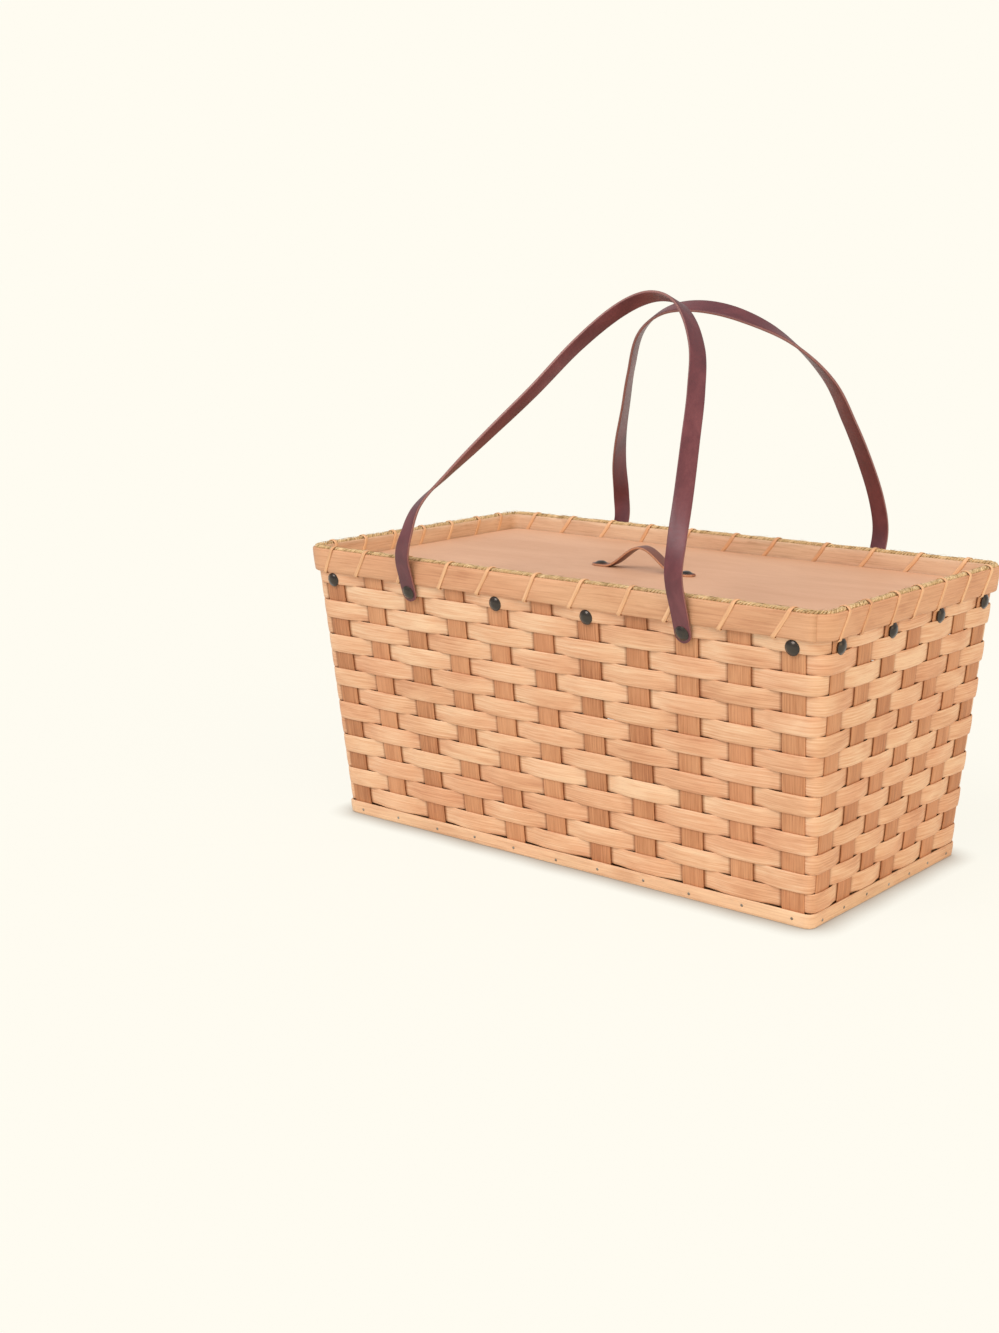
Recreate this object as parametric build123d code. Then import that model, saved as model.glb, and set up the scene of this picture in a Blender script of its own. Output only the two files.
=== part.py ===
from build123d import *
import os
from math import atan2, cos, degrees, pi, radians, sin

# A woven splint picnic basket with a lift-out board lid and two riveted leather carrying straps.
# The frame: +X along the long side, +Y from the front wall to the back wall, +Z up,
# with the origin under the middle of the base. All sizes are millimetres.

# Overall size, over the outer rim hoop
RIM_LENGTH = 560.0
RIM_WIDTH = 310.0
RIM_TOP = 262.0
END_INSET = 20.0  # how far each end wall leans in between the rim and the base
SIDE_INSET = 28.0  # how far the front and back walls lean in

# The layers of the wall, measured from the middle of the uprights
STAKE_THICK = 1.4
STAKE_WIDTH = 21.0
WEAVER_THICK = 1.2
LAYER_GAP = 0.05
HOOP_THICK = 3.0
HOOP_HEIGHT = 22.0
INNER_HOOP_BOTTOM = 242.0
STAKE_TOP = 256.0
STAKE_FOOT = 0.3
HOOP_CLEARANCE = 0.1

# The weave
FRONT_STAKES = 11
END_STAKES = 7
FRONT_PITCH_TOP = 49.7
FRONT_PITCH_BASE = 47.9
END_PITCH_TOP = 41.5
END_PITCH_BASE = 35.6
CORNER_RADIUS_TOP = 14.0
CORNER_RADIUS_BASE = 4.0
CORNER_STEPS = 5
ROWS = 14
ROW_PITCH = 16.6
WEAVER_HEIGHT = 15.9
FIRST_ROW = 13.0
HIDDEN_ROW_TOP = 255.5
FLAT_MARGIN = 0.3  # how far a weaver stays flat past the edges of an upright

# The base
BOARD_THICK = 9.0
BAND_HEIGHT = 12.7
BAND_THICK = 2.0
NAIL_RADIUS = 0.6
NAIL_LENGTH = 11.0
NAIL_HEAD_RADIUS = 1.2
NAIL_HEAD_THICK = 0.5
NAIL_HEIGHT = 6.0

# The rim filler and its cane lashing
FILLER_WIDTH = 4.0
FILLER_BOTTOM = 256.3
FILLER_TOP = 263.4
LASH_WIDTH = 3.2
LASH_THICK = 0.9
LASH_SLANT = 15.0  # how far one wrap leans along the rim over the height of the hoop
LASH_START = 0.65  # where a wrap starts between one upright and the next, as a share
LASH_TUCK = 1.2  # how far below the outer hoop a wrap turns in
LASH_INNER_END = 243.0

# The ledge that the lid lies on
LEDGE_TOP = 241.5
LEDGE_HEIGHT = 19.5
LEDGE_THICK = 10.0
LEDGE_END_GAP = 18.0

# Wall rivets
RIVET_HEIGHT = 233.3
RIVET_HEAD_RADIUS = 6.4
RIVET_HEAD_RISE = 2.8
RIVET_SHANK_RADIUS = 2.0
RIVET_HOLE_RADIUS = 2.1
WASHER_RADIUS = 5.0
WASHER_THICK = 1.0
SHANK_PEEN = 0.8
HEAD_SINK = 0.8  # how far a handle rivet's shank runs up inside its tilted head
HEAD_EDGE_SHARE = 0.35  # the part of a head's rise that is its upright edge
HOLE_LENGTH = 60.0

# The lid
LID_THICK = 6.4
LID_GAP = 1.2  # all round, to the inner hoop
LID_CORNER_RADIUS = 14.0
PULL_WIDTH = 12.7
PULL_THICK = 2.2
PULL_RIVETS_APART = 95.0
PULL_END = 8.0
PULL_RISE = 20.0
PULL_HEAD_RADIUS = 5.6
PULL_HEAD_RISE = 2.4
PULL_FOOT_CURVE = 0.6  # how soon the pull bends up from its flat ends

# The carrying straps
STRAP_WIDTH = 16.0
STRAP_THICK = 2.4
STRAP_TILT = 17.6  # how far the riveted end leans out from upright, in degrees
STRAP_STAND_OFF = 2.2  # from the weave to the leather at the rivet
TAB_BELOW = 9.0
TAB_ABOVE = 12.0  # from the rivet up to the line where the leather flexes
FLEX_GAP = 0.6
HANDLE_STAKES = (2, 8)
STRAP_SECTIONS = 40
CROWN_STEPS = 100  # how finely the strap's highest point is looked for

# Where each strap runs between its flex lines, seen from its own wall: x, distance from the
# basket's middle plane, height
FRONT_STRAP_ROUTE = [
    (-147, 162.5, 265), (-141, 164, 284), (-134, 156, 311), (-116, 137, 338), (-93.5, 108, 372),
    (-69, 73, 410.5), (-45, 38, 451.5), (-16, 14, 481.5), (16, 9.5, 492.5), (47.5, 15.5, 484.5),
    (78, 36, 453.5), (100.5, 68.5, 417), (120, 104.5, 378.5), (137.5, 139, 336.5), (145, 158, 303.5),
    (146.5, 163.5, 278),
]
BACK_STRAP_ROUTE = [
    (-144, 163, 265), (-145.5, 164, 290), (-137.5, 149, 322), (-120, 127, 352), (-91, 95, 387),
    (-59.5, 60, 423), (-26.5, 30, 460), (9.5, 16.5, 479.5), (48, 13.5, 483.5), (88, 19, 475.5),
    (124.5, 36.5, 455), (146, 66.5, 422), (148.5, 102.5, 382), (148, 136, 342), (148.5, 158, 306.5),
    (150, 164, 278),
]
# How far the leather has turned, in degrees, at even shares of the way from each flex line up to
# the crown: the leg on the left as the front is seen, then the leg on the right
FRONT_STRAP_TURNS = [
    (0, 14, 38, 61, 73, 79, 85, 97, 110),
    (0, 10, 25, 38, 45, 48, 56, 65, 70),
]
BACK_STRAP_TURNS = [
    (0, 42, 66, 83, 93, 97, 94, 78, 68),
    (0, 1, 3, 8, 14, 24, 46, 84, 112),
]

WEAVE_FACE = STAKE_THICK / 2 + LAYER_GAP + WEAVER_THICK
HOOP_OFFSET = WEAVE_FACE + LAYER_GAP + HOOP_CLEARANCE
HEAD_SEAT = WEAVE_FACE + LAYER_GAP
SHANK_DEPTH = HOOP_OFFSET + LEDGE_THICK + WASHER_THICK + SHANK_PEEN
STAKE_HALF_LENGTH = RIM_LENGTH / 2 - HOOP_OFFSET - HOOP_THICK
STAKE_HALF_WIDTH = RIM_WIDTH / 2 - HOOP_OFFSET - HOOP_THICK


def lerp(low, high, share):
    return low + (high - low) * share


def half_length(z):
    return STAKE_HALF_LENGTH - END_INSET * (1 - z / RIM_TOP)


def half_width(z):
    return STAKE_HALF_WIDTH - SIDE_INSET * (1 - z / RIM_TOP)


def corner_radius(z):
    return lerp(CORNER_RADIUS_BASE, CORNER_RADIUS_TOP, z / RIM_TOP)


def stake_places(count, pitch_base, pitch_top, z):
    pitch = lerp(pitch_base, pitch_top, z / RIM_TOP)
    return [(i - (count - 1) / 2) * pitch for i in range(count)]


def front_places(z):
    return stake_places(FRONT_STAKES, FRONT_PITCH_BASE, FRONT_PITCH_TOP, z)


def end_places(z):
    return stake_places(END_STAKES, END_PITCH_BASE, END_PITCH_TOP, z)


# The four walls in order round the basket: front, right, back, left. Each has a half span along
# itself, a distance out from the middle, and its stake places.
WALLS = ("front", "right", "back", "left")


def wall_spans(z):
    long_span = (half_length(z), half_width(z), front_places(z))
    end_span = (half_width(z), half_length(z), end_places(z))
    return [long_span, end_span, long_span, end_span]


def on_wall(wall, along, out, z):
    turn = wall * pi / 2
    x = along * cos(turn) + out * sin(turn)
    y = along * sin(turn) - out * cos(turn)
    return Vector(x, y, z)


def wall_lean(wall):
    inset = SIDE_INSET if wall % 2 == 0 else END_INSET
    return degrees(atan2(inset, RIM_TOP))


def corner_points(wall, z, offset_from, offset_to):
    span, out, _ = wall_spans(z)[wall]
    radius = corner_radius(z)
    points = []
    for step in range(CORNER_STEPS + 1):
        share = step / CORNER_STEPS
        swing = share * pi / 2
        reach = radius + lerp(offset_from, offset_to, share)
        points.append(
            on_wall(wall, span - radius + reach * sin(swing), out - radius + reach * cos(swing), z)
        )
    return points


def ring_outline(z, offset):
    """A plain rounded rectangle at a height, at an offset out from the uprights' middle."""
    radius = max(corner_radius(z) + offset, 0.5)
    shape = RectangleRounded(2 * (half_length(z) + offset), 2 * (half_width(z) + offset), radius)
    return (Pos(0, 0, z) * shape).face().outer_wire()


def ring(z_low, z_high, offset_in, offset_out):
    outer = Solid.make_loft([ring_outline(z_low, offset_out), ring_outline(z_high, offset_out)], True)
    inner = Solid.make_loft([ring_outline(z_low, offset_in), ring_outline(z_high, offset_in)], True)
    return outer - inner


def weave_outline(z, row, face):
    """The outline of a weaver's inner or outer face: outside every second upright, inside the rest."""
    middle = (STAKE_THICK + WEAVER_THICK) / 2 + LAYER_GAP
    flat = STAKE_WIDTH / 2 + FLAT_MARGIN
    points = []
    count = 0
    for wall, (_, out, places) in enumerate(wall_spans(z)):
        for along in places:
            side = 1 if (count + row + 1) % 2 == 0 else -1
            offset = side * middle + face
            points += [
                on_wall(wall, along - flat, out + offset, z),
                on_wall(wall, along + flat, out + offset, z),
            ]
            count += 1
        corner = corner_points(wall, z, side * middle + face, -side * middle + face)
        points += corner[1:-1]
    return Wire.make_polygon(points, close=True)


def weaver(row, z_low, z_high):
    faces = {}
    for name, face in (("outer", WEAVER_THICK / 2), ("inner", -WEAVER_THICK / 2)):
        outlines = [weave_outline(z, row, face) for z in (z_low, z_high)]
        faces[name] = Solid.make_loft(outlines, True)
    return faces["outer"] - faces["inner"]


def slab(wall, z_low, z_high, spans, offset_in, offset_out):
    """A flat strip that leans with its wall. spans gives its two ends along the wall at a height."""
    sections = []
    for z in (z_low, z_high):
        out = wall_spans(z)[wall][1]
        start, end = spans(z)
        corners = [(start, offset_in), (end, offset_in), (end, offset_out), (start, offset_out)]
        points = [on_wall(wall, along, out + offset, z) for along, offset in corners]
        sections.append(Wire.make_polygon(points, close=True))
    return Solid.make_loft(sections, True)


def stakes(wall):
    made = []
    for i in range(len(wall_spans(0)[wall][2])):
        def ends(z, i=i):
            middle = wall_spans(z)[wall][2][i]
            return middle - STAKE_WIDTH / 2, middle + STAKE_WIDTH / 2
        made.append(slab(wall, STAKE_FOOT, STAKE_TOP, ends, -STAKE_THICK / 2, STAKE_THICK / 2))
    return made


def ledge(wall):
    def ends(z):
        span = wall_spans(z)[wall][0] - LEDGE_END_GAP
        return -span, span
    low = LEDGE_TOP - LEDGE_HEIGHT
    return slab(wall, low, LEDGE_TOP, ends, -HOOP_OFFSET - LEDGE_THICK, -HOOP_OFFSET)


def base_board():
    outlines = [ring_outline(z, -STAKE_THICK / 2 - LAYER_GAP) for z in (0, BOARD_THICK)]
    return Solid.make_loft(outlines, True)


def base_nails():
    made = []
    for wall in range(4):
        _, out, places = wall_spans(NAIL_HEIGHT)[wall]
        face = out + STAKE_THICK / 2 + LAYER_GAP + BAND_THICK
        for along in places:
            outward = on_wall(wall, 0, 1, 0)
            seat = Plane(on_wall(wall, along, face, NAIL_HEIGHT), z_dir=outward)
            shank = seat * Pos(0, 0, -NAIL_LENGTH / 2) * Cylinder(NAIL_RADIUS, NAIL_LENGTH)
            head = seat * Pos(0, 0, NAIL_HEAD_THICK / 2) * Cylinder(NAIL_HEAD_RADIUS, NAIL_HEAD_THICK)
            made.append((shank + head).solid())
    return made


def lash_wrap(wall, along):
    """One wrap of cane: up the outer hoop on the slant, over the top, and down the inner hoop."""
    z_low = RIM_TOP - HOOP_HEIGHT - LASH_TUCK
    z_high = FILLER_TOP + HOOP_CLEARANCE
    reach = HOOP_OFFSET + HOOP_THICK + HOOP_CLEARANCE

    def leg(side, z_start, lean_from, lean_to):
        near, far = sorted((side * reach, side * (reach + LASH_THICK)))
        sections = []
        for z, lean in ((z_start, lean_from), (z_high + LASH_THICK, lean_to)):
            out = wall_spans(min(z, z_high))[wall][1]
            ends = (along + lean - LASH_WIDTH / 2, along + lean + LASH_WIDTH / 2)
            corners = [(ends[0], near), (ends[1], near), (ends[1], far), (ends[0], far)]
            points = [on_wall(wall, a, out + offset, z) for a, offset in corners]
            sections.append(Wire.make_polygon(points, close=True))
        return Solid.make_loft(sections, True)

    def flat(z, lean, near, far):
        out = wall_spans(z)[wall][1]
        start = on_wall(wall, along + lean - LASH_WIDTH / 2, out + near, z)
        end = on_wall(wall, along + lean + LASH_WIDTH / 2, out + far, z + LASH_THICK)
        low = Vector(min(start.X, end.X), min(start.Y, end.Y), z)
        size = Vector(abs(end.X - start.X), abs(end.Y - start.Y), LASH_THICK)
        return Pos(*low) * Box(*size, align=(Align.MIN, Align.MIN, Align.MIN))

    over = flat(z_high, LASH_SLANT, -reach - LASH_THICK, reach + LASH_THICK)
    tuck = flat(z_low, 0, WEAVE_FACE + HOOP_CLEARANCE, reach + LASH_THICK)
    outer_leg = leg(1, z_low, 0, LASH_SLANT)
    straight = wall_spans(LASH_INNER_END)[wall][0] - corner_radius(LASH_INNER_END) - LASH_WIDTH
    inner_lean = min(2 * LASH_SLANT, straight - along)
    inner_leg = leg(-1, LASH_INNER_END, inner_lean, LASH_SLANT)
    return (over + tuck + outer_leg + inner_leg).solid()


def rim_lashing():
    made = []
    for wall in range(4):
        span, _, places = wall_spans(RIM_TOP)[wall]
        pitch = places[1] - places[0]
        for place in places[:-1]:
            made.append(lash_wrap(wall, place + LASH_START * pitch))
        made.append(lash_wrap(wall, -span + CORNER_RADIUS_TOP + LASH_WIDTH))
    return made


def domed_head(radius, rise):
    """A shallow domed cap whose flat side lies on the plane, rounded over at its edge."""
    edge = rise * HEAD_EDGE_SHARE
    ball = (radius * radius + (rise - edge) ** 2) / (2 * (rise - edge))
    with BuildSketch(Plane.XZ) as half:
        with BuildLine():
            Line((0, 0), (radius, 0))
            Line((radius, 0), (radius, edge))
            RadiusArc((radius, edge), (0, rise), -ball)
            Line((0, rise), (0, 0))
        make_face()
    return revolve(half.sketch, Axis.Z)


def leaning_plane(wall, origin, lean):
    """A plane whose normal points out from a wall and down, by that many degrees from level."""
    tilt = radians(lean)
    outward = on_wall(wall, 0, cos(tilt), 0) + Vector(0, 0, -sin(tilt))
    return Plane(origin, x_dir=on_wall(wall, 1, 0, 0), z_dir=outward)


def shank_plane(wall, along, offset):
    """A place on a rivet's axis, which is square to the wall. The offset is level, as it is in the
    layers of the wall, so along the axis it is a little shorter."""
    out = wall_spans(RIVET_HEIGHT)[wall][1]
    lean = wall_lean(wall)
    middle = leaning_plane(wall, on_wall(wall, along, out, RIVET_HEIGHT), lean)
    return middle.offset(offset * cos(radians(lean)))


def wall_rivet(wall, along):
    """A plain rivet, whose head bears on the outermost weaver."""
    plane = shank_plane(wall, along, HEAD_SEAT)
    reach = HEAD_SEAT + SHANK_DEPTH
    shank = Pos(0, 0, -reach / 2) * Cylinder(RIVET_SHANK_RADIUS, reach)
    return (plane * (domed_head(RIVET_HEAD_RADIUS, RIVET_HEAD_RISE) + shank)).solid()


def handle_plane(wall, along):
    """The middle of the leather at a strap's rivet: x across the strap, y up along it."""
    on_axis = shank_plane(wall, along, WEAVE_FACE + STRAP_STAND_OFF + STRAP_THICK / 2)
    return leaning_plane(wall, on_axis.origin, STRAP_TILT)


def handle_rivet(wall, along):
    head = Pos(0, 0, STRAP_THICK / 2 + LAYER_GAP) * domed_head(RIVET_HEAD_RADIUS, RIVET_HEAD_RISE)
    head_offset = WEAVE_FACE + STRAP_STAND_OFF + STRAP_THICK + HEAD_SINK
    reach = head_offset + SHANK_DEPTH
    shank = Pos(0, 0, -reach / 2) * Cylinder(RIVET_SHANK_RADIUS, reach)
    return (handle_plane(wall, along) * head + shank_plane(wall, along, head_offset) * shank).solid()


def shank_hole(wall, along):
    return shank_plane(wall, along, 0) * Cylinder(RIVET_HOLE_RADIUS, HOLE_LENGTH)


def strap_tab(wall, along):
    """The riveted end of a strap, up to the line where the leather flexes."""
    half = STRAP_WIDTH / 2
    with BuildSketch() as outline:
        with Locations((0, (TAB_ABOVE - TAB_BELOW + half) / 2)):
            Rectangle(STRAP_WIDTH, TAB_ABOVE + TAB_BELOW - half)
        with Locations((0, half - TAB_BELOW)):
            Circle(half)
    plate = Pos(0, 0, -STRAP_THICK / 2) * extrude(outline.sketch, STRAP_THICK)
    return (handle_plane(wall, along) * plate - shank_hole(wall, along)).solid()


def leg_turn(turns, climb):
    """How far the leather has turned at a share of the way up a leg, in radians."""
    place = climb * (len(turns) - 1)
    i = min(int(place), len(turns) - 2)
    return radians(lerp(turns[i], turns[i + 1], place - i))


def strap(wall, route, turns):
    """The free length of a strap. Its finished face looks out from the wall at both ends, turns to
    the outside of the arch on the way up each leg, and lies on top at the crown."""
    side = -1 if wall == 0 else 1
    places = front_places(RIVET_HEIGHT)
    ends = []
    for i in HANDLE_STAKES:
        tab = handle_plane(wall, -side * places[i])
        ends.append(tab.from_local_coords(Vector(0, TAB_ABOVE + FLEX_GAP, 0)))
    line = Spline(ends[0], *[Vector(x, side * y, z) for x, y, z in route], ends[1])
    crown_at = max(range(CROWN_STEPS), key=lambda i: (line @ (i / CROWN_STEPS)).Z) / CROWN_STEPS
    crown = line @ crown_at
    lean = Vector(0, crown.Y - ends[0].Y, crown.Z - ends[0].Z).normalized()
    crown_width = lean.cross(Vector(1, 0, 0)) * -1
    sections = []
    for i in range(STRAP_SECTIONS + 1):
        t = i / STRAP_SECTIONS
        climb = min(t / crown_at, (1 - t) / (1 - crown_at))
        leg = 1 if t < crown_at else -1
        turn = leg_turn(turns[0] if leg == 1 else turns[1], climb)
        along = line % t
        if i in (0, STRAP_SECTIONS):
            # the end faces lie square to the riveted ends
            along = tab.y_dir * leg
        width = Vector(-side * leg, 0, 0) * cos(turn) + crown_width * sin(turn)
        width = (width - along * width.dot(along)).normalized()
        half_width_way = width * (STRAP_WIDTH / 2)
        half_thick_way = width.cross(along) * (STRAP_THICK / 2)
        corners = []
        for a, b in ((1, 1), (-1, 1), (-1, -1), (1, -1)):
            corners.append(line @ t + half_width_way * a + half_thick_way * b)
        sections.append(Wire.make_polygon(corners, close=True))
    return Solid.make_loft(sections, True)


def lid_board():
    inside = HOOP_OFFSET + HOOP_THICK + LID_GAP
    length = 2 * (half_length(LEDGE_TOP) - inside)
    width = 2 * (half_width(LEDGE_TOP) - inside)
    board = extrude(RectangleRounded(length, width, LID_CORNER_RADIUS), LID_THICK)
    board = Pos(0, 0, LEDGE_TOP) * board
    for x in pull_rivet_places():
        board -= Pos(x, 0, LEDGE_TOP) * Cylinder(RIVET_HOLE_RADIUS, HOLE_LENGTH)
    return board.solid()


def pull_rivet_places():
    return (-PULL_RIVETS_APART / 2, PULL_RIVETS_APART / 2)


def lid_pull():
    """A leather loop: flat at both riveted ends and bowed up between them."""
    z = LEDGE_TOP + LID_THICK + LAYER_GAP
    end = PULL_RIVETS_APART / 2 + PULL_END
    foot = PULL_RIVETS_APART / 2 - PULL_END
    with BuildSketch(Plane.XZ) as outline:
        with BuildLine():
            for rise, bend in ((0, foot), (PULL_THICK, foot - PULL_THICK / 2)):
                Line((-end, rise), (-bend, rise))
                Spline(
                    (-bend, rise), (0, rise + PULL_RISE), (bend, rise),
                    tangents=[(1, 0), (1, 0)], tangent_scalars=[PULL_FOOT_CURVE, PULL_FOOT_CURVE],
                )
                Line((bend, rise), (end, rise))
            Line((-end, 0), (-end, PULL_THICK))
            Line((end, 0), (end, PULL_THICK))
        make_face()
    loop = extrude(outline.sketch, PULL_WIDTH / 2, both=True)
    loop = Pos(0, 0, z) * loop
    for x in pull_rivet_places():
        loop -= Pos(x, 0, z) * Cylinder(RIVET_HOLE_RADIUS, 3 * PULL_THICK)
    return loop.solid()


def pull_rivets():
    made = []
    top = LEDGE_TOP + LID_THICK + LAYER_GAP + PULL_THICK + LAYER_GAP
    reach = PULL_THICK + LID_THICK + 2 * LAYER_GAP + WASHER_THICK + SHANK_PEEN
    for x in pull_rivet_places():
        shank = Pos(0, 0, -reach / 2) * Cylinder(RIVET_SHANK_RADIUS, reach)
        made.append((Pos(x, 0, top) * (domed_head(PULL_HEAD_RADIUS, PULL_HEAD_RISE) + shank)).solid())
    return made


def washer():
    return Cylinder(WASHER_RADIUS, WASHER_THICK) - Cylinder(RIVET_HOLE_RADIUS, WASHER_THICK * 2)


def pull_washers():
    z = LEDGE_TOP - WASHER_THICK / 2
    return [(Pos(x, 0, z) * washer()).solid() for x in pull_rivet_places()]


def rivet_stakes(wall):
    """The uprights that carry a rivet: every second one."""
    return list(range(0, len(wall_spans(0)[wall][2]), 2))


def is_handle(wall, i):
    return wall % 2 == 0 and i in HANDLE_STAKES


def save(name, shapes):
    shapes = shapes if isinstance(shapes, list) else [shapes]
    solids = [s for shape in shapes for s in shape.solids()]
    whole = solids[0] if len(solids) == 1 else Compound(children=solids)
    export_step(whole, f"parts/{name}.step")


def main():
    os.makedirs("parts", exist_ok=True)
    places = {wall: wall_spans(RIVET_HEIGHT)[wall][2] for wall in range(4)}
    plain, handle, holes = {}, {}, {}
    washers = []
    for wall in range(4):
        plain[wall], handle[wall], holes[wall] = [], [], []
        for i in rivet_stakes(wall):
            along = places[wall][i]
            if is_handle(wall, i):
                handle[wall].append(along)
            else:
                plain[wall].append(along)
            holes[wall].append(shank_hole(wall, along))
            seat = shank_plane(wall, along, -HOOP_OFFSET - LEDGE_THICK - LAYER_GAP)
            washers.append((seat * Pos(0, 0, -WASHER_THICK / 2) * washer()).solid())

    def drilled(shape, wall):
        for hole in holes[wall]:
            shape = shape - hole
        return shape

    for wall, name in enumerate(WALLS):
        drilled_stakes = []
        for i, stake in enumerate(stakes(wall)):
            drilled_stakes.append(drilled(stake, wall) if i in rivet_stakes(wall) else stake)
        save(f"{name}_stakes", drilled_stakes)
        save(f"{name}_lid_ledge", drilled(ledge(wall), wall))
        save(f"{name}_wall_rivets", [wall_rivet(wall, along) for along in plain[wall]])

    for row in range(ROWS):
        z_low = FIRST_ROW + row * ROW_PITCH
        made = weaver(row, z_low, z_low + WEAVER_HEIGHT)
        if z_low < RIVET_HEIGHT < z_low + WEAVER_HEIGHT:
            for wall in range(4):
                made = drilled(made, wall)
        save(f"weaver_row_{row + 1:02d}", made)
    z_low = FIRST_ROW + ROWS * ROW_PITCH
    save("weaver_under_rim", weaver(ROWS, z_low, HIDDEN_ROW_TOP))

    save("base_board", base_board())
    offset = STAKE_THICK / 2 + LAYER_GAP
    save("base_band", ring(0, BAND_HEIGHT, offset, offset + BAND_THICK))
    save("base_nails", base_nails())
    save("outer_rim_hoop", ring(RIM_TOP - HOOP_HEIGHT, RIM_TOP, HOOP_OFFSET, HOOP_OFFSET + HOOP_THICK))
    save("inner_rim_hoop", ring(INNER_HOOP_BOTTOM, RIM_TOP, -HOOP_OFFSET - HOOP_THICK, -HOOP_OFFSET))
    save("rim_filler_rope", ring(FILLER_BOTTOM, FILLER_TOP, -FILLER_WIDTH / 2, FILLER_WIDTH / 2))
    save("rim_lashing", rim_lashing())
    save("rivet_washers", washers)

    straps = (
        (0, "front", FRONT_STRAP_ROUTE, FRONT_STRAP_TURNS),
        (2, "back", BACK_STRAP_ROUTE, BACK_STRAP_TURNS),
    )
    for wall, name, route, turns in straps:
        save(f"{name}_handle_rivets", [handle_rivet(wall, along) for along in handle[wall]])
        save(f"{name}_handle_ends", [strap_tab(wall, along) for along in handle[wall]])
        save(f"{name}_handle_strap", strap(wall, route, turns))

    save("lid_board", lid_board())
    save("lid_pull_strap", lid_pull())
    save("lid_pull_rivets", pull_rivets())
    save("lid_pull_washers", pull_washers())


main()
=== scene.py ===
"""A woven splint picnic basket with leather carrying straps and a lift-out lid."""

import logging
import random
from dataclasses import dataclass, field
from enum import Enum
from math import atan2, cos, pi, radians, sin, sqrt
from typing import Sequence

import bpy
from mathutils import Matrix, Vector, noise


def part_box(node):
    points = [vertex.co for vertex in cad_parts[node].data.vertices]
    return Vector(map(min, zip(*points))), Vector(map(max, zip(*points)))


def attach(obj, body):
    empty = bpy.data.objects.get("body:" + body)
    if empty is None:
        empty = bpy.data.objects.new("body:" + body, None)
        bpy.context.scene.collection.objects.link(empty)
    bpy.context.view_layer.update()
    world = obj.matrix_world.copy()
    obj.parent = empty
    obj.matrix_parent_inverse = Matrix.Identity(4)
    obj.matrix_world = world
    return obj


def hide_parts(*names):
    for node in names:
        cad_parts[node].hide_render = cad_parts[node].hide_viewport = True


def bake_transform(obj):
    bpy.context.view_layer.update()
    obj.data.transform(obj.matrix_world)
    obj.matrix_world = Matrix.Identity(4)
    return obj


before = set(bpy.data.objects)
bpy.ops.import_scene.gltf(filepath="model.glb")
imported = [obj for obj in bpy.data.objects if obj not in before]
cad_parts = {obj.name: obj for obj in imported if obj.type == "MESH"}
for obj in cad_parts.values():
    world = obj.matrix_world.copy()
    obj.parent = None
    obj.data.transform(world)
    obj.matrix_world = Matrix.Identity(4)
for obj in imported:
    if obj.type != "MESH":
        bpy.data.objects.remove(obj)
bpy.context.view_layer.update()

Colour = tuple[float, float, float]
Socket = bpy.types.NodeSocket
Material = bpy.types.Material
Piece = bpy.types.Object

LOG = logging.getLogger("basket")
BASKET_BODY = "basket"
LID_BODY = "lid"
BEAT_LENGTH = 0.046
WHITE: Colour = (1.0, 1.0, 1.0)


class Side(Enum):
    """The long wall that a carrying strap is riveted to."""

    FRONT = "front"
    BACK = "back"

    @property
    def outward(self) -> int:
        """The way that this wall faces along Y."""
        return -1 if self is Side.FRONT else 1


class Wall(Enum):
    """The four walls in order round the basket."""

    FRONT = 0
    RIGHT = 1
    BACK = 2
    LEFT = 3

    @property
    def turn(self) -> float:
        """How far the wall is turned about Z from the front wall, in radians."""
        return self.value * pi / 2

    @property
    def is_long(self) -> bool:
        """Whether this is the front or the back wall."""
        return self.value % 2 == 0

    def following(self) -> "Wall":
        """The wall round the next corner."""
        return Wall((self.value + 1) % 4)


def srgb(red: int, green: int, blue: int) -> Colour:
    """Turns a colour in 0 to 255 display values into Blender's linear values.

    Args:
        red: Red from 0 to 255.
        green: Green from 0 to 255.
        blue: Blue from 0 to 255.

    Returns:
        The linear red, green and blue.
    """
    channels = []
    for value in (red, green, blue):
        share = value / 255
        channels.append(share / 12.92 if share <= 0.04045 else ((share + 0.055) / 1.055) ** 2.4)
    return tuple(channels)


def lerp(low: float, high: float, share: float) -> float:
    """The value that lies that share of the way from low to high."""
    return low + (high - low) * share


def ease(share: float) -> float:
    """Turns a share from 0 to 1 into one that starts and stops smoothly."""
    share = min(max(share, 0.0), 1.0)
    return share * share * (3 - 2 * share)


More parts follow.
